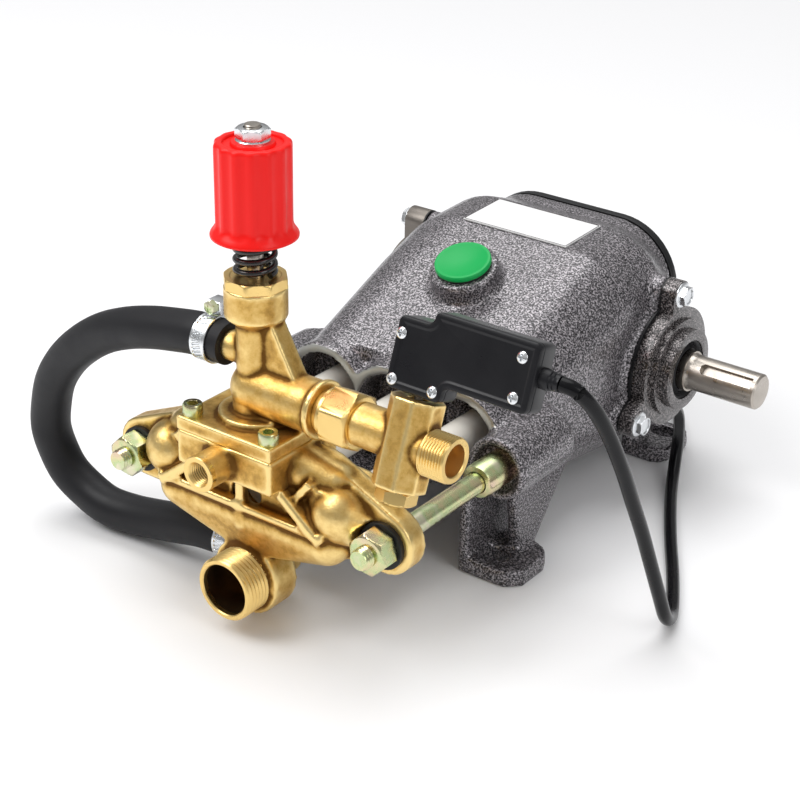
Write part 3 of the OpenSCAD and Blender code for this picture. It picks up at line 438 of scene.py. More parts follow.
# %% [markdown]
# Plated steel: clear zinc is a cool silver, yellow zinc shimmers from straw to green and pink because
# its chromate film is only a few light waves thick. Bare steel is ground and slightly brown.

# %% Steel finishes
bright_zinc = turned_metal("bright_zinc", (0.78, 0.80, 0.82), 0.16, 0.36)
ground_steel = turned_metal("ground_steel", (0.46, 0.42, 0.375), 0.22, 0.42)
black_steel, tree, shader = new_finish("black_steel", (0.008, 0.007, 0.007), 0.0, 0.2, 0.2)
add_gloss(tree, shader, 0.16, 0.34)
yellow_zinc, tree, shader = new_finish("yellow_zinc", (0.75, 0.68, 0.38), 1.0, 0.22)
gloss = add_gloss(tree, shader, 0.16, 0.34, 55.0)
film = ramp(tree, gloss.outputs["Fac"], [(0.34, (0.66, 0.48, 0.40)), (0.46, (0.70, 0.62, 0.36)),
                                         (0.56, (0.52, 0.62, 0.32)), (0.66, (0.72, 0.68, 0.50))])
tree.links.new(film, shader.inputs["Base Color"])
bare_casting, tree, shader = new_finish("bare_casting", (0.20, 0.18, 0.16), 0.85, 0.42)
add_gloss(tree, shader, 0.35, 0.5)
add_grain(tree, shader, 0.8, 0.06)
machined_face, tree, shader = new_finish("machined_face", (0.5, 0.5, 0.47), 0.9, 0.36)
add_gloss(tree, shader, 0.28, 0.44)

# %% Plastics, rubber and paint
def moulded(name, colour, low, high, grain=0.02, coat=0.0, size=0.5, specular=0.3):
    """Moulded plastic or rubber: uneven gloss and a faint skin."""
    material, tree, shader = new_finish(name, colour, 0.0, low, coat, specular)
    add_gloss(tree, shader, low, high, 45.0)
    add_grain(tree, shader, size, grain, 0.3)
    return material


red_plastic = moulded("red_plastic", (0.93, 0.006, 0.004), 0.3, 0.42, 0.01, 0.0)
green_plastic = moulded("green_plastic", (0.001, 0.40, 0.085), 0.32, 0.46, 0.02)
black_plastic = moulded("black_plastic", (0.008, 0.008, 0.010), 0.26, 0.38, 0.02)
hose_rubber = moulded("hose_rubber", (0.010, 0.010, 0.012), 0.45, 0.58, 0.05, 0.0, 0.7)
cable_jacket = moulded("cable_jacket", (0.004, 0.004, 0.005), 0.2, 0.3, 0.015, 0.0, 0.5, 0.18)
seal_rubber = moulded("seal_rubber", (0.012, 0.012, 0.013), 0.4, 0.55, 0.03)
black_plate = moulded("black_plate", (0.008, 0.008, 0.009), 0.3, 0.45, 0.03)
label_white = moulded("label_white", (0.86, 0.86, 0.86), 0.3, 0.4, 0.005)
label_edge = moulded("label_edge", (0.05, 0.045, 0.045), 0.4, 0.5, 0.005)
ceramic = moulded("ceramic", (0.83, 0.80, 0.73), 0.12, 0.2, 0.005)

# %% [markdown]
# ## Castings
# A sand casting has no sharp inside corner: every rib runs into its wall with a fillet. Merging a copy
# of the CAD solid, rebuilding it in small even cells and letting the cells relax rounds all corners at
# once. How far each point then sits under or over a much smoother surface is stored as "relief".

# %% Even skin
def merged_copy(node, flatten=False):
    """A CAD node's loose triangles as one welded mesh, its flat faces joined if asked."""
    mesh = nodes[node].data.copy()
    work = bmesh.new()
    work.from_mesh(mesh)
    bmesh.ops.remove_doubles(work, verts=work.verts, dist=5e-6)
    if flatten:
        bmesh.ops.dissolve_limit(work, angle_limit=math.radians(1), verts=work.verts, edges=work.edges)
    work.to_mesh(mesh)
    work.free()
    if mesh.attributes.get("custom_normal"):
        mesh.attributes.remove(mesh.attributes["custom_normal"])
    return mesh


def evaluated(mesh, modifiers):
    """The mesh after a list of (kind, settings) modifiers."""
    helper = bpy.data.objects.new("helper", mesh)
    bpy.context.scene.collection.objects.link(helper)
    for kind, settings in modifiers:
        modifier = helper.modifiers.new(kind.lower(), kind)
        for key, value in settings.items():
            setattr(modifier, key, value)
    ready = helper.evaluated_get(bpy.context.evaluated_depsgraph_get())
    result = bpy.data.meshes.new_from_object(ready)
    bpy.data.objects.remove(helper)
    return result


def points_of(mesh):
    co = np.empty(len(mesh.vertices) * 3, np.float32)
    mesh.vertices.foreach_get("co", co)
    return co.reshape(-1, 3).astype(float)


def set_points(mesh, points):
    mesh.vertices.foreach_set("co", points.astype(np.float32).ravel())
    mesh.update()


def relaxed(points, edges, rounds):
    """Points moved to the mean of their neighbours, a number of times."""
    count = np.bincount(edges.ravel(), minlength=len(points))[:, None]
    for _ in range(rounds):
        total = np.stack([np.bincount(edges[:, 0], points[edges[:, 1], k], len(points))
                          + np.bincount(edges[:, 1], points[edges[:, 0], k], len(points))
                          for k in range(3)], 1)
        points = 0.5 * points + 0.5 * total / count
    return points


def add_relief(mesh, rounds, reach):
    """Stores 0 in hollows, 0.5 on flat faces and 1 on edges: the height over a relaxed copy."""
    points = points_of(mesh)
    edges = np.empty(len(mesh.edges) * 2, np.int32)
    mesh.edges.foreach_get("vertices", edges)
    edges = edges.reshape(-1, 2)
    normals = np.empty(len(points) * 3, np.float32)
    mesh.vertex_normals.foreach_get("vector", normals)
    height = ((points - relaxed(points, edges, rounds)) * normals.reshape(-1, 3)).sum(1)
    relief = mesh.attributes.new("relief", "FLOAT", "POINT")
    relief.data.foreach_set("value", (0.5 + 0.5 * np.clip(height / reach, -1, 1)).astype(np.float32))


def casting(node, cell, rounds, adjust=None):
    """A CAD casting with an even skin of cells, rounded corners and a relief attribute."""
    mesh = evaluated(merged_copy(node), [
        ("REMESH", {"mode": "VOXEL", "voxel_size": cell, "adaptivity": 0.0}),
        ("SMOOTH", {"factor": 0.5, "iterations": rounds})])
    if adjust:
        set_points(mesh, adjust(points_of(mesh)))
    add_relief(mesh, 14, 0.45 * cell)
    mesh.polygons.foreach_set("use_smooth", np.ones(len(mesh.polygons), bool))
    print(node, "skin:", len(mesh.polygons), "faces")
    return mesh

# %% Crankcase casting
crankcase = put_on("crankcase_casting", casting("crankcase", 1.8 * MM, 4), hammer_paint, "casing",
                   ["crankcase"])

# %% [markdown]
# The front ends of the three plunger guides are milled after painting, so the scalloped lip shows bare
# metal. Faces of the casting that lie in that one plane and look forwards take a second material.

# %% Milled faces
def milled(piece, material, axis, place, reach, side):
    """Gives the faces near a plane, looking along its axis, a second material."""
    mesh = piece.data
    centre = np.empty(len(mesh.polygons) * 3, np.float32)
    normal = np.empty(len(mesh.polygons) * 3, np.float32)
    mesh.polygons.foreach_get("center", centre)
    mesh.polygons.foreach_get("normal", normal)
    centre, normal = centre.reshape(-1, 3), normal.reshape(-1, 3)
    chosen = (np.abs(centre[:, axis] - place) < reach) & (normal[:, axis] * side > 0.8)
    mesh.materials.append(material)
    mesh.polygons.foreach_set("material_index", chosen.astype(np.int32))
    mesh.update()
    print(piece.name, "milled faces:", int(chosen.sum()))


milled(crankcase, machined_face, 1, -92 * MM, 1.2 * MM, -1)

# %% [markdown]
# ## Brass castings
# The valve head, the unloader and the outlet tee are castings with turned threads. The thread is its
# own piece, so the casting's plain neck below it is drawn in a little, to lie inside the thread.

# %% Valve head
INLET = np.array([0, -224, 26]) * MM


def draw_in_inlet(points):
    """Points of the inlet's neck ahead of its shoulder move into the middle of the wall."""
    offset = points[:, [0, 2]] - INLET[[0, 2]]
    radius = np.linalg.norm(offset, axis=1)
    neck = (points[:, 1] < -208.6 * MM) & (radius < 18.5 * MM)
    target = np.where(radius > 15.2 * MM, 15.6 * MM, 14.4 * MM)
    share = np.where(neck, target / np.maximum(radius, 1e-6), 1.0)
    points[:, [0, 2]] = INLET[[0, 2]] + offset * share[:, None]
    points[:, 1] = np.where(neck, np.maximum(points[:, 1], -222.5 * MM), points[:, 1])
    return points


put_on("valve_head", casting("manifold", 1.05 * MM, 4, draw_in_inlet), cast_brass, "casing",
       ["manifold"])
put_on("unloader_casting", casting("unloader_body", 0.8 * MM, 3), cast_brass, "casing",
       ["unloader_body"])

# %% Outlet tee, in its own leaning frame
TEE = np.array([89, UNLOADER_Y, 126]) * MM
OUTLET_Z = -1.5 * MM
LEAN = math.radians(20)
TEE_AXES = np.array([[1, 0, 0], [0, math.cos(LEAN), -math.sin(LEAN)],
                     [0, math.sin(LEAN), math.cos(LEAN)]])


def on_tee(points):
    """Points given in the tee's own X, Y and Z, where Z leans back with its body."""
    return np.asarray(points) @ TEE_AXES + TEE


def draw_in_outlet(points):
    """Points of the outlet's neck under its thread move into the middle of the wall."""
    local = (points - TEE) @ TEE_AXES.T
    radius = np.hypot(local[:, 1], local[:, 2] - OUTLET_Z)
    neck = (local[:, 0] > 12.2 * MM) & (radius < 12.5 * MM)
    target = np.where(radius > 9.0 * MM, 9.9 * MM, 8.4 * MM)
    share = np.where(neck, target / np.maximum(radius, 1e-6), 1.0)
    local[:, 1] *= share
    local[:, 2] = (local[:, 2] - OUTLET_Z) * share + OUTLET_Z
    local[:, 0] = np.where(neck, np.minimum(local[:, 0], 24.8 * MM), local[:, 0])
    return local @ TEE_AXES + TEE


put_on("outlet_tee_casting", casting("outlet_tee", 0.7 * MM, 2, draw_in_outlet), cast_brass,
       "casing", ["outlet_tee"])

# %% [markdown]
# ## Threads
# A thread is a surface whose radius depends on how far the helix has come: it rises and falls once for
# each pitch along the axis and once round. The ends fade into a chamfer, where a nut would start.

# %% Threaded sleeve
def thread_rows(length, major, pitch, depth, angles, start_fade=0.6, end_fade=1.0):
    """Radius over (height, angle): the crest radius less a V groove that follows a helix, in mm."""
    height = np.linspace(0, length, int(length / pitch * 10) + 1)
    phase = (height[:, None] / pitch - angles[None, :] / (2 * np.pi)) % 1
    groove = np.clip(np.abs(2 * phase - 1) * 1.3 - 0.12, 0, 1)
    fade = np.clip(height / start_fade / pitch, 0, 1) * np.clip((length - height) / pitch / 0.3, 0, 1)
    radius = major - depth * (1 - groove) * fade[:, None]
    chamfer = major - depth * 0.9 * np.clip(1 - (length - height) / end_fade, 0, 1)
    return np.minimum(radius, chamfer[:, None]), height


def threaded_sleeve(length, major, pitch, depth, bore, inside, count=96):
    """Outside thread, then the end face and the bore going back in by a depth inside; all in mm."""
    angles = around(count)
    radius, height = thread_rows(length, major, pitch, depth, angles)
    back = np.array([[bore + 0.5, length], [bore, length - 0.5], [bore, length - inside]])
    rows = np.broadcast_to(back[:, :1], (3, count))
    grid = ring_grid(np.concatenate([radius, rows]) * MM,
                     np.concatenate([height, back[:, 1]]) * MM, angles)
    return grid


new_piece("inlet_thread", [placed(threaded_sleeve(16.5, 16.6, 2.309, 1.1, 13.4, 32),
                                  (0, -207.5 * MM, INLET[2]), (0, -1, 0))],
          turned_brass, "casing")
outlet_at = (12.5 * MM, 0, OUTLET_Z)
new_piece("outlet_thread", [on_tee(placed(threaded_sleeve(13.5, 11, 1.5, 0.75, 7.6, 14),
                                          outlet_at, (1, 0, 0)))],
          turned_brass, "casing")
outlet_wall = lathe([(7.55, 12.6), (7.5, 2), (5.2, 1.9), (5.0, -6), (0, -6)])
new_piece("outlet_bore", [on_tee(placed(outlet_wall, outlet_at, (1, 0, 0)))],
          copper_bore, "casing")
# The inlet's bore wears the dark copy of the brass, painted shade for the deep hole.
inlet_wall = lathe([(13.35, 1.5), (13.3, 30), (8, 30.4), (7.8, 40), (0, 40)])
new_piece("inlet_bore", [placed(inlet_wall, (0, -222.5 * MM, INLET[2]), (0, 1, 0))],
          bore_painted_shade, "casing")

# %% Gauge port: a turned rim and the thread inside it
def inside_thread(length, minor, pitch, depth, count=64):
    """A thread in a hole: the radius grows by the groove's depth from the bore radius, in mm."""
    angles = around(count)
    radius, height = thread_rows(length, minor, pitch, depth, angles, 0.3, 0.5)
    return ring_grid((2 * minor - radius) * MM, height * MM, angles)


port_rim = lathe([(8.6, -3.4), (9.0, -3.0), (9.0, -0.3), (8.7, 0), (6.4, 0), (5.8, -0.6), (5.8, -1.4)])
new_piece("gauge_port_thread", [
    placed(port_rim, (-2 * MM, -237 * MM, 95 * MM), (0, -1, 0)),
    placed(inside_thread(14, 5.35, 1.337, 0.5), (-2 * MM, -222.3 * MM, 95 * MM), (0, -1, 0))],
    turned_brass, "casing")

# %% [markdown]
# ## Nuts and bolts
# A hexagon's outline is a radius that depends on the angle. Cutting it with a cone, by taking the
# smaller of the two radii, leaves the curved chamfer that every real nut has on its corners.

# %% Hexagon
def hexagon(flats, height, bore=0.0, cut=0.95, both_ends=True, count=96):
    """A nut or bolt head: hexagon across flats, cut by a 30 degree cone at its ends; all in mm."""
    angles = around(count)
    flat = flats / 2 / np.cos((angles + np.pi / 6) % (np.pi / 3) - np.pi / 6)
    steps = np.array([0, 0.25, 0.6, 1.0, 1.5])
    low = np.minimum(flat, (flats / 2 * cut + steps * 1.73)[:, None])
    rows = np.concatenate([low if both_ends else np.broadcast_to(flat, (5, count)), low[::-1]])
    z = np.concatenate([steps, height - steps[::-1]])
    centre = np.array([[max(bore, 0.0)], [max(bore, 0.0)]])
    rows = np.concatenate([centre[:1] + 0 * flat, rows, centre[1:] + 0 * flat])
    z = np.concatenate([[0], z, [height]])
    return ring_grid(rows * MM, z * MM, angles)


def bolt_heads(places, along, flange=7.2):
    """Flanged hexagon heads with a dished top, one for each place."""
    parts = []
    washer = lathe([(0, 0), (flange, 0), (flange, 0.7), (flange - 1.4, 1.5), (0, 1.6)], 48)
    dish = lathe([(4.4, 4.7), (4.1, 4.25), (0, 4.1)], 48)
    for n, place in enumerate(places):
        for grid in (washer, hexagon(10, 4.8, 4.2, 0.97), dish):
            parts.append(placed(grid, place, along, 0.3 + 0.7 * n))
    return parts


BOLT_CIRCLE = 43


def bolt_circle(x):
    """Places of the three bolts of a bearing cover, on a circle round the crank."""
    return [CRANK + np.array([x, BOLT_CIRCLE * math.cos(a), BOLT_CIRCLE * math.sin(a)]) * MM
            for a in np.radians([90, 210, 330])]


new_piece("cover_bolts",
          bolt_heads(bolt_circle(89), (1, 0, 0)) + bolt_heads(bolt_circle(-94), (-1, 0, 0)),
                  bright_zinc, "casing", ["bearing_cover_bolts"])

# %% Tie rods, nuts and washers
def tie_rod():
    """A stud threaded at both ends: rows of a thread, a plain shank and another thread, in mm."""
    angles = around(40)
    front, z_front = thread_rows(18, 5.5, 1.75, 0.75, angles, 0.6, 1.4)
    rear, z_rear = thread_rows(20, 5.5, 1.75, 0.75, angles)
    shank = np.full((2, 40), 5.5)
    cap = np.zeros((1, 40))
    rows = np.concatenate([cap, shank[:1], rear[::-1], shank, front, cap])
    z = np.concatenate([[-70, -70], -122 - z_rear[::-1], [-143, -197], -198 - z_front, [-216]])
    return ring_grid(rows * MM, z * MM, angles)


rods, nuts, washers = [], [], []
for x in (-TIE_X, TIE_X):
    rods.append(placed(tie_rod(), (x * MM, 0, TIE_Z * MM), (0, 1, 0)))
    nuts.append(placed(hexagon(19, 11, 5.0, 0.95), (x * MM, NUT_Y * MM, TIE_Z * MM), (0, -1, 0), 0.26))
    washers.append(placed(lathe([(5.6, 0), (12, 0), (12, 2.2), (11.6, 2.5), (5.6, 2.5)]),
                           (x * MM, (NUT_Y + 2.5) * MM, TIE_Z * MM), (0, -1, 0)))
new_piece("tie_rod_pair", rods, yellow_zinc, "casing", ["tie_rods"])
new_piece("tie_nut_pair", nuts, yellow_zinc, "casing", ["tie_nuts"])
new_piece("tie_washer_pair", washers, seal_rubber, "casing", ["tie_washers"])
lock = [(1, -98), (9, -98), (9, -119.5), (8.2, -121.5), (5.9, -122), (5.6, -121)]
lock_nut = lathe([(r, -z) for r, z in lock])
new_piece("lock_nut_pair",
          [placed(lock_nut, (x * MM, 0, TIE_Z * MM), (0, -1, 0)) for x in (-TIE_X, TIE_X)],
          yellow_zinc, "casing", ["lock_nuts"])

# %% [markdown]
# ## Unloader
# Turning the red knob presses a spring on the unloader's valve. The knob's flutes come from one
# formula: its radius is the nearer of the round body and the wall of the cutter's circle.

# %% Knob
def fluted(radius, flutes, cutter, reach, angles):
    """Radius of a round body with hollows that a round cutter leaves, centred at a distance reach."""
    a = (angles * flutes / (2 * np.pi)) % 1 - 0.5
    a = a * 2 * np.pi / flutes
    hit = np.clip(cutter**2 - (reach * np.sin(a)) ** 2, 0, None)
    wall = np.where(hit > 0, reach * np.cos(a) - np.sqrt(hit), radius)
    return -0.25 * np.log(np.exp(-wall / 0.25 + radius / 0.25) + 1) + radius


KNOB_BASE = np.array([0, UNLOADER_Y, CAP_TOP + 19]) * MM
angles = around(14 * 20)
body = fluted(17.9, 14, 6.0, 23.1, angles)
knob_profile = np.array([
    # radius, height, share of the flutes
    (4.2, 0.0, 0), (19.6, 0.0, 0), (20.4, 0.5, 0), (20.5, 1.2, 0), (20.2, 2.0, 0), (19.2, 3.4, 0.1),
    (18.3, 4.8, 0.5), (17.95, 6.2, 1), (17.9, 8.0, 1), (17.9, 24.0, 1), (17.9, 42.4, 1),
    (17.8, 43.6, 1), (17.4, 44.5, 0.8), (16.6, 45.0, 0.5), (15.2, 45.0, 0), (14.2, 45.0, 0),
    (13.8, 44.6, 0), (13.7, 43.6, 0), (10.4, 43.5, 0), (10.1, 44.6, 0), (9.8, 45.0, 0),
    (4.2, 45.0, 0), (4.2, 44.0, 0)])
radius = knob_profile[:, :1] - knob_profile[:, 2:] * (17.9 - body)[None, :]
knob_grid = ring_grid(radius * MM, knob_profile[:, 1] * MM, angles)
new_piece("red_knob", [placed(knob_grid, KNOB_BASE)], red_plastic,
          "pressure_knob", ["knob"], 50)
nut_base = KNOB_BASE + np.array([0, 0, 45 * MM])
stud, stud_z = thread_rows(3.9, 3.9, 1.25, 0.5, around(40), 0.1, 0.5)
new_piece("knob_flange_nut", [
    placed(lathe([(4, 0), (8, 0), (8, 0.8), (7.6, 1.2), (4, 1.3)]), nut_base),
    placed(hexagon(14, 5.5, 4.2, 0.95), nut_base + [0, 0, 1.0 * MM], (0, 0, 1), 0.15)],
    bright_zinc, "pressure_knob", ["knob_nut"])
new_piece("adjuster_stud", [
    placed(lathe([(0, -71), (3.9, -71), (3.9, 0), (3.9, 4.2)], 40), nut_base),
    placed(np.concatenate([ring_grid(stud * MM, stud_z * MM, around(40)),
                            ring_grid(np.zeros((1, 40)), np.array([3.9 * MM]), around(40))]),
            nut_base + [0, 0, 4.05 * MM])],
    ground_steel, "pressure_knob", ["adjuster_stem"])

# %% Spring, its plate and the eight-sided cap
coil_turn = np.linspace(0, 2 * np.pi * 3.6, 220)
lift = np.interp(coil_turn, [0, 3.2, 2 * np.pi * 3.6 - 3.2, 2 * np.pi * 3.6], [1.5, 2.2, 15.6, 16.0])
spring_line = np.stack([9 * np.cos(coil_turn), 9 * np.sin(coil_turn), lift + CAP_TOP], 1) * MM
spring_line += np.array([0, UNLOADER_Y, 0]) * MM
spring = new_piece("pressure_spring_wire", [
    with_ends(tube(spring_line, 1.5 * MM, 16, (0, 0, 1)))],
    black_steel, "casing", ["pressure_spring"], 60)
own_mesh(spring)
new_piece("spring_seat_disc", [placed(lathe([(4.1, 17.4), (11, 17.4), (11, 18.8), (4.1, 18.8)]),
                                       np.array([0, UNLOADER_Y, CAP_TOP]) * MM)],
          black_steel, "spring_seat", ["spring_plate"])


def octagon(flat, low, high, cut):
    """An eight-sided cap cut by a cone at its top; sizes in mm."""
    turn = around(96)
    side = flat / np.cos((turn + np.pi / 8) % (np.pi / 4) - np.pi / 8)
    rows = np.stack([side * 0 + 11, side, side, np.minimum(side, cut + 0.5), np.minimum(side, cut),
                     side * 0 + 12.2, side * 0 + 11.6, side * 0 + 4.1, side * 0 + 4.1])
    z = np.array([low, low, high - 0.9, high - 0.35, high, high, high - 0.5, high - 0.5, low])
    return ring_grid(rows * MM, z * MM, turn)


new_piece("unloader_screw_cap", [placed(octagon(14.4, CAP_TOP - 5, CAP_TOP, 14.6), (0, UNLOADER_Y * MM, 0))],
          turned_brass, "casing", ["unloader_cap"])

# %% Socket cap screws with a hexagon socket
def socket_screw():
    """A cylinder head with a fine knurl and a six-sided socket; sizes in mm."""
    turn = around(72)
    knurl = 4.85 + 0.06 * np.cos(36 * turn)
    inner = 2.5 / np.cos((turn + np.pi / 6) % (np.pi / 3) - np.pi / 6)
    plain = 0 * turn
    rows = np.stack([plain, plain + 4.7, knurl, knurl, plain + 4.4, plain + 3.2, inner, inner, plain])
    z = np.array([0, 0, 0.4, 5.2, 6.0, 6.0, 5.8, 3.0, 2.6])
    return ring_grid(rows * MM, z * MM, turn)


new_piece("cap_screws", [placed(socket_screw(), (x * MM, y * MM, 111.6 * MM))
                         for x in (-23.5, 23.5) for y in (-216, -178)],
          yellow_zinc, "casing", ["cover_screws"])

# %% [markdown]
# ## Union nut and plug
# The union nut clamps the tee to the unloader's barrel; both it and the plug under the tee are turned
# from hexagon bar, so they are brighter than the castings beside them.

# %% Union nut and plug
union = [placed(hexagon(26, 16, 8.6, 0.93), (46 * MM, UNLOADER_Y * MM, 126 * MM), (1, 0, 0), 0.0),
         placed(lathe([(8.6, 0), (10.5, 0), (10.5, 1.6), (9.4, 2.0), (9.4, 2.8), (12.6, 3.4), (12.6, 5),
                        (8.6, 5)]), (41.2 * MM, UNLOADER_Y * MM, 126 * MM), (1, 0, 0))]
new_piece("union_hex_nut", union, turned_brass, "casing", ["union_nut"])
plug = placed(hexagon(17, 7, 0.0, 0.94), (0, 0, -22 * MM), (0, 0, -1))
new_piece("tee_hex_plug", [on_tee(plug)], turned_brass, "casing", ["tee_plug"])

# %% [markdown]
# ## Hose and clamps
# The bypass hose is plain black rubber, pushed over two barbs. Each worm-drive clamp is a slotted band:
# its radius drops in slanting slots that a repeating pattern of angle and width places.

# %% Hose
pinch = np.interp(np.linalg.norm(hose_line - hose_line[0], axis=1), [0, 0.004, 0.008, 0.016, 0.02, 0.03],
                  [10.6, 10.7, 10.45, 10.45, 10.7, 10.7]) * MM
hose = new_piece("bypass_hose_rubber", [with_ends(tube(hose_line, pinch, 48, (0, 1, 0)))],
                 hose_rubber, "casing", ["bypass_hose"])

# %% Worm-drive clamps
def clamp_band():
    """A band 9 mm wide round the hose, with slanting slots pressed into it; sizes in mm."""
    turn = around(34 * 10)
    across = np.linspace(-4.5, 4.5, 25)
    phase = (turn[None, :] * 34 / (2 * np.pi) + across[:, None] * 0.16) % 1
    slot = (np.abs(phase - 0.5) < 0.24) & (np.abs(across)[:, None] < 2.9)
    outer = 11.9 - 0.55 * slot - 0.35 * (np.abs(across)[:, None] > 4.3)
    inner = np.full((1, len(turn)), 10.9)
    rows = np.concatenate([inner, outer, inner, inner])
    z = np.concatenate([[-4.5], across, [4.5], [-4.5]])
    return ring_grid(rows * MM, z * MM, turn)


def cross_head(radius, height, depth, count=64):
    """A domed screw head: height falls off with the radius and drops inside a cross; sizes in mm."""
    share = np.array([0, 0.12, 0.24, 0.34, 0.44, 0.54, 0.66, 0.78, 0.9, 0.97, 1.0, 1.0])[:, None]
    turn = around(count)[None, :]
    x, y = share * radius * np.cos(turn), share * radius * np.sin(turn)
    arm = (np.minimum(np.abs(x), np.abs(y)) < 0.15 * radius) & (np.hypot(x, y) < 0.6 * radius)
    z = height * np.sqrt(np.clip(1 - 0.85 * share**2, 0, 1)) - depth * arm
    z[-1] = 0
    return np.stack([x, y, z], -1) * MM


bands, worm_screws = [], []
for place in ((-28, -196, 143), (-33, -180, 23)):
    place = np.array(place) * MM
    bands.append(placed(clamp_band(), place, (1, 0, 0)))
    box_turn = around(48)
    square = 1 / np.maximum(np.abs(np.cos(box_turn)), np.abs(np.sin(box_turn)))
    rows = np.stack([square * 0, square * 3.5, square * 3.9, square * 3.9, square * 3.5, square * 0])
    housing = ring_grid(rows * MM, np.array([-3.2, -3.2, -2.6, 4.6, 5.0, 5.0]) * MM, box_turn)
    bands.append(placed(housing, place + np.array([0, 6.5, 14.3]) * MM, (0, -1, 0)))
    head_at = place + np.array([0, 1.5, 15.9]) * MM
    worm_screws += [placed(hexagon(6, 3.6, 0.0, 0.93), head_at, (0, -1, 0)),
                    placed(cross_head(2.7, 0.7, 0.9), head_at + np.array([0, -3.3, 0]) * MM, (0, -1, 0))]
new_piece("clamp_bands", bands, bright_zinc, "casing", ["hose_clamps"])
new_piece("clamp_worm_screws", worm_screws, yellow_zinc, "casing", ["clamp_screws"])

# %% [markdown]
# ## Pressure switch
# The switch box is two moulded shells: a housing and a screwed cover with a raised border. Its outline
# has eight corners; each is replaced by an arc, and the shells are stacks of that outline, moved
# inwards row by row to round the edges.

# %% Outline with round corners
BOX = np.array([(-14, 22), (16, 22), (16, 29.5), (59, 29.5), (59, 61), (4, 61), (4, 55), (-14, 55)], float)


def rounded(corners, radius, inset=0.0, steps=6):
    """A closed outline moved inwards by an inset, with an arc at each corner; counter-clockwise, mm."""
    before, after = np.roll(corners, 1, 0), np.roll(corners, -1, 0)
    into = (corners - before) / np.linalg.norm(corners - before, axis=1)[:, None]
    away = (after - corners) / np.linalg.norm(after - corners, axis=1)[:, None]
    turn = np.sign(into[:, 0] * away[:, 1] - into[:, 1] * away[:, 0])[:, None]
    inner = np.stack([-into[:, 1] - away[:, 1], into[:, 0] + away[:, 0]], 1)
    moved = corners + inset * inner
    r = np.where(turn > 0, max(radius - inset, 0.2), radius + inset)
    left_in, left_out = np.stack([-into[:, 1], into[:, 0]], 1), np.stack([-away[:, 1], away[:, 0]], 1)
    middle = moved + turn * r * (left_in + left_out)
    t = np.linspace(0, np.pi / 2, steps)[None, :, None]
    start = -turn * left_in
    arc = middle[:, None] + r[:, None] * (start[:, None] * np.cos(t) + into[:, None] * np.sin(t))
    return arc.reshape(-1, 2)


def shell(rows):
    """A stack of outlines from (inset, depth) rows, open at both ends."""
    grid = []
    for inset, depth in rows:
        line = rounded(BOX, 3.0, inset)
        grid.append(np.stack([line[:, 0], np.full(len(line), depth), line[:, 1]], 1))
    return np.stack(grid) * MM


def flat_lid(name, inset, depth):
    """One face that fills the outline, for the flat field of a shell."""
    line = rounded(BOX, 3.0, inset)
    points = on_tee(np.stack([line[:, 0], np.full(len(line), depth), line[:, 1]], 1) * MM)
    mesh = bpy.data.meshes.new(name)
    mesh.from_pydata(points.tolist(), [], [list(range(len(points)))])
    return mesh


def join_meshes(name, meshes, sharp=35):
    """Several meshes welded into one."""
    work = bmesh.new()
    for mesh in meshes:
        work.from_mesh(mesh)
    bmesh.ops.remove_doubles(work, verts=work.verts, dist=2e-6)
    bmesh.ops.recalc_face_normals(work, faces=work.faces)
    joined = bpy.data.meshes.new(name)
    work.to_mesh(joined)
    work.free()
    joined.polygons.foreach_set("use_smooth", np.ones(len(joined.polygons), bool))
    joined.set_sharp_from_angle(angle=math.radians(sharp))
    return joined


def shell_mesh(name, rows, lids):
    grid = on_tee(shell(rows))
    mesh = bpy.data.meshes.new(name)
    mesh.from_pydata(grid.reshape(-1, 3).tolist(), [], grid_faces(*grid.shape[:2]).tolist())
    return join_meshes(name, [mesh] + [flat_lid(name, *rows[k]) for k in lids])


# %% Housing, cover and its screws
put_on("switch_box", shell_mesh("switch_box", [(0.3, -4.9), (0, -4.6), (0, 4.2), (0.25, 4.8), (0.9, 5.0)],
                                (0, -1)), black_plastic, "casing", ["switch_housing"])
cover_rows = [(0.2, -5.1), (0, -5.3), (0, -7.7), (0.3, -8.25), (1.0, -8.5), (2.6, -8.55), (3.0, -8.5),
              (3.5, -8.1), (4.2, -8.0)]
put_on("switch_box_cover", shell_mesh("switch_box_cover", cover_rows, (0, -1)), black_plastic, "casing",
       ["switch_cover"])
screws = []
for x, z in ((-11.2, 47), (-11.0, 26), (11, 26), (51, 53), (51, 35)):
    place = on_tee(np.array([x, -8.0, z]) * MM)
    along = on_tee(np.array([x, -9.0, z]) * MM) - place
    screws.append(placed(cross_head(2.7, 1.5, 0.9), place, along))
new_piece("cover_cross_screws", screws, bright_zinc, "casing", ["switch_screws"])
collar = [(0, 55), (4.8, 55), (4.8, 61.6), (4.6, 62)]
collar += [(4.6 - 0.1 * k - 0.3 * (k % 2), 62.4 + 0.9 * k) for k in range(6)] + [(3.9, 68), (3.5, 68)]
relief_at = np.array([0, -0.5, 46]) * MM
new_piece("cable_strain_relief", [on_tee(placed(lathe(collar, 40), relief_at, (1, 0, 0)))],
          black_plastic, "casing", ["strain_relief"])

# %% [markdown]
# The cable leaves the switch through that collar, hangs over the pump's right side and lies on the
# table behind it in a flat coil. Its far end is simply cut off.

# %% Cable
cable = new_piece("switch_cable_jacket", [
    with_ends(tube(cable_line, 3.5 * MM, 20, (0.6, 0.5, -0.62)))],
    cable_jacket, "casing", ["switch_cable", "cable_coil"])

# %% [markdown]
# ## Shaft, seal and covers
# The driven shaft has a keyway: points of the lathe grid that fall inside the slot move down to its
# floor. The oil seal's rubber face is ribbed, and both bearing covers keep their CAD shape with small
# rounded edges.

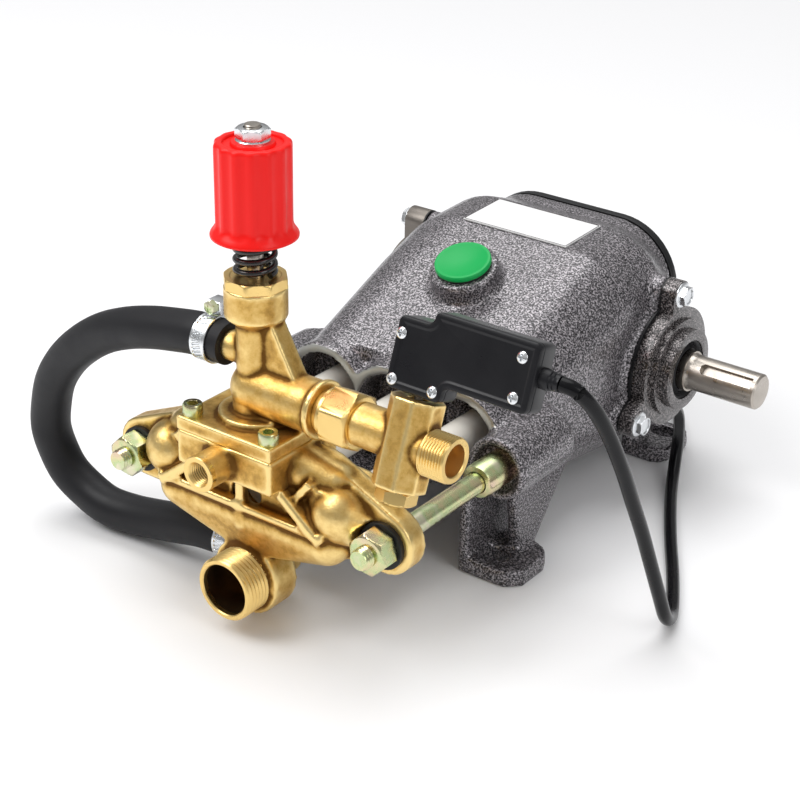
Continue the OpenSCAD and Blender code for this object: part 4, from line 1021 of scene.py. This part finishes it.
# %% Driven shaft end
def shaft_end():
    """A shaft along Z from the seal to its chamfered end, with a keyway cut in one side; in mm."""
    count = 180
    height = np.concatenate([[75, 96.4, 100], np.linspace(100, 107.9, 6), np.linspace(108, 111, 9),
                             np.linspace(112, 139, 10), [139.05, 141.0, 142.0, 142.0, 142.0, 142.0]])
    radius = np.full(len(height), 10.0)
    radius[0] = 0.0
    radius[1:3] = 11.5
    radius[3] = 10.6
    radius[-4:] = [9.0, 8.0, 4.0, 0.0]
    turn = around(count)
    grid = ring_grid(radius, height, turn)
    side, up = grid[..., 1], grid[..., 0]
    from_centre = np.hypot(side, np.minimum(height[:, None] - 111, 0))
    inside = (from_centre < 3.0) & (up > 0) & (height[:, None] < 139.02)
    grid[..., 0] = np.where(inside, 6.4, up)
    return grid * MM


def shaft_step(radius, start, end, offset=(0.0, 0.0)):
    """A round step of the crankshaft along X, from its offset in Y and Z; in mm."""
    profile = [(0, start), (radius - 0.5, start), (radius, start + 0.5), (radius, end - 0.5),
               (radius - 0.5, end), (0, end)]
    return placed(lathe(profile, 96), CRANK + np.array([0, *offset]) * MM, (1, 0, 0))


steps = [placed(shaft_end(), CRANK, (1, 0, 0), math.radians(135))]
steps += [shaft_step(15, *ends) for ends in ((-77, -60), (60, 77))]
steps += [shaft_step(22.5, *ends) for ends in ((-61, -53), (-35, -9), (9, 35), (53, 61))]
steps += [shaft_step(17, x - 9, x + 9, (6 * math.cos(a), 6 * math.sin(a)))
          for x, a in zip((-44, 0, 44), np.radians([0, 120, 240]))]
new_piece("turned_crankshaft", steps, ground_steel, "crank", ["crankshaft"], 30)
ribs = [(11.6, 89.0), (11.6, 95.6)]
ribs += [(12.2 + 0.62 * k, 95.9 - 0.9 * (k % 2)) for k in range(7)]
ribs += [(16.6, 96.3), (17.0, 96.0), (17.0, 89.0)]
new_piece("oil_seal_lip", [placed(lathe(ribs, 72), CRANK, (1, 0, 0))],
          seal_rubber, "casing", ["oil_seal"])

# %% Rounded copies of machined CAD parts
def softened(node, material, body, width=0.35, segments=2):
    """A CAD node with its facets joined and every sharp edge rounded by a small width in mm."""
    mesh = evaluated(merged_copy(node, True), [
        ("BEVEL", {"width": width * MM, "segments": segments, "limit_method": "ANGLE",
                   "angle_limit": math.radians(28), "use_clamp_overlap": True})])
    mesh.polygons.foreach_set("use_smooth", np.ones(len(mesh.polygons), bool))
    mesh.set_sharp_from_angle(angle=math.radians(30))
    return put_on(node + "_rounded", mesh, material, body, [node])


# The right cover takes the darker copy of the hammered paint, painted shade for its side away from the key
# light.
softened("bearing_cover_right", hammer_paint_painted_shade, "casing", 0.7, 3)
softened("bearing_cover_left", bare_casting, "casing", 0.8, 3)
softened("rear_cover", black_plate, "casing", 0.6)
softened("drain_plug", ground_steel, "casing", 0.3)
softened("rear_cover_screws", bright_zinc, "casing", 0.3)
softened("label_plate", label_white, "casing", 0.15, 1)

# %% Filler cap
def on_neck(points):
    """Points given in the frame of the filler neck, whose Z is square to the sloping roof."""
    lean = math.radians(20)
    axes = np.array([[1, 0, 0], [0, math.cos(lean), math.sin(lean)], [0, -math.sin(lean), math.cos(lean)]])
    return np.asarray(points) @ axes + np.array([0, -29, 137]) * MM


cap = [(0, -16), (10.9, -16), (10.9, -4.6), (14.2, -4.4), (14.4, -3.6), (15.3, -2.9), (15.5, -2.3),
       (15.4, -0.7), (15.0, -0.15), (14.3, 0.0), (13.4, 0.0), (12.9, -0.35), (0, -0.4)]
ring = [(11.2, -4.6), (14.6, -4.6), (14.75, -3.9), (14.4, -3.3), (11.2, -3.3)]
new_piece("filler_cap", [on_neck(lathe(cap, 96))], green_plastic, "filler",
          ["oil_filler_cap"], 40)
new_piece("filler_seal_ring", [on_neck(lathe(ring, 72))], seal_rubber, "filler")

# %% Label border
def frame_border(half_x, half_y, width, radius):
    """A flat frame with round corners: the outer and the inner outline as two rows of points; in mm."""
    t = around(4) [:, None] + np.linspace(0, np.pi / 2, 6)[None, :]
    corner = np.array([[1, 1], [-1, 1], [-1, -1], [1, -1]], float)[:, None]
    rows = []
    for inset in (0.0, width):
        r = max(radius - inset, 0.2)
        centre = corner * (np.array([half_x - inset, half_y - inset]) - r)
        rows.append((centre + r * np.stack([np.cos(t), np.sin(t)], -1)).reshape(-1, 2))
    return np.stack([np.concatenate([row, np.full((len(row), 1), 0.0)], 1) for row in rows])


tilt = math.radians(2)
border = frame_border(33.8, 17.8, 0.6, 1.2)
border = border @ np.array([[1, 0, 0], [0, math.cos(tilt), math.sin(tilt)],
                            [0, -math.sin(tilt), math.cos(tilt)]])
border += np.array([0, 38, 137.9]) + 0.74 * np.array([0, -math.sin(tilt), math.cos(tilt)])
new_piece("label_border", [border * MM], label_edge, "casing")

# %% [markdown]
# ## Materials of the other CAD parts
# Everything that is left keeps its CAD shape: parts deep inside, and flat ones such as gaskets, whose
# CAD shape is already the real one.

# %% Finishes on CAD parts
finish_of = {
    "rear_gasket": black_plate, "bearing_gaskets": black_plate,
    "bearing_outer_rings": ground_steel, "bearing_inner_rings": ground_steel,
    "connecting_rod_1": ground_steel, "connecting_rod_2": ground_steel, "connecting_rod_3": ground_steel,
    "crosshead_1": ground_steel, "crosshead_2": ground_steel, "crosshead_3": ground_steel,
    "plunger_1": ceramic, "plunger_2": ceramic, "plunger_3": ceramic, "packings": seal_rubber,
    "packing_retainers": turned_brass, "valve_seats": ground_steel, "inlet_valve_1": ground_steel,
    "inlet_valve_2": ground_steel, "inlet_valve_3": ground_steel, "outlet_valve_1": ground_steel,
    "outlet_valve_2": ground_steel, "outlet_valve_3": ground_steel, "switch_piston": ground_steel,
    "micro_switch": black_plastic}
for name, material in finish_of.items():
    nodes[name].data.materials.clear()
    nodes[name].data.materials.append(material)

# %% [markdown]
# ## Table and light
# A pale, matt table that fades into a pale surround, one large soft light above the front left and a
# weaker one from the right. A bright sky with a greyer horizon gives the polished parts something to
# reflect.

# %% Table, sky and lights
bpy.ops.mesh.primitive_plane_add(size=8, location=(0, 0, 0))
table = bpy.context.object
table.name = "table_top"
table_white, tree, shader = new_finish("table_white", (0.93, 0.93, 0.94), 0.0, 0.55, 0.0, 0.25)
table.data.materials.append(table_white)

world = bpy.data.worlds.new("studio")
bpy.context.scene.world = world
world.use_nodes = True
tree = world.node_tree
where = add_node(tree, "ShaderNodeTexCoord")
split = add_node(tree, "ShaderNodeSeparateXYZ")
tree.links.new(where.outputs["Generated"], split.inputs[0])
sky = ramp(tree, split.outputs["Z"], [(0.0, (0.42,)), (0.10, (0.50,)), (0.45, (0.9,)), (1.0, (1.0,))])
tree.links.new(sky, tree.nodes["Background"].inputs["Color"])
tree.nodes["Background"].inputs["Strength"].default_value = 0.5


def add_light(name, place, target, size, power):
    """A square area light that faces a target."""
    data = bpy.data.lights.new(name, "AREA")
    data.shape = "RECTANGLE"
    data.size, data.size_y = size
    data.energy = power
    light = bpy.data.objects.new(name, data)
    aim = Vector(target) - Vector(place)
    light.matrix_world = Matrix.Translation(place) @ aim.to_track_quat("-Z", "Y").to_matrix().to_4x4()
    bpy.context.scene.collection.objects.link(light)


add_light("key", (-0.7, -0.9, 1.3), (0, 0, 0.08), (0.8, 0.8), 12)
add_light("fill", (1.2, -0.3, 0.8), (0, 0, 0.08), (0.6, 0.9), 4)
sun_data = bpy.data.lights.new("overhead", "SUN")
sun_data.energy = 1.5
sun_data.angle = math.radians(50)
sun = bpy.data.objects.new("overhead", sun_data)
sun.rotation_euler = (math.radians(-12), math.radians(-14), 0)
bpy.context.scene.collection.objects.link(sun)
bpy.context.scene.view_settings.view_transform = "Standard"
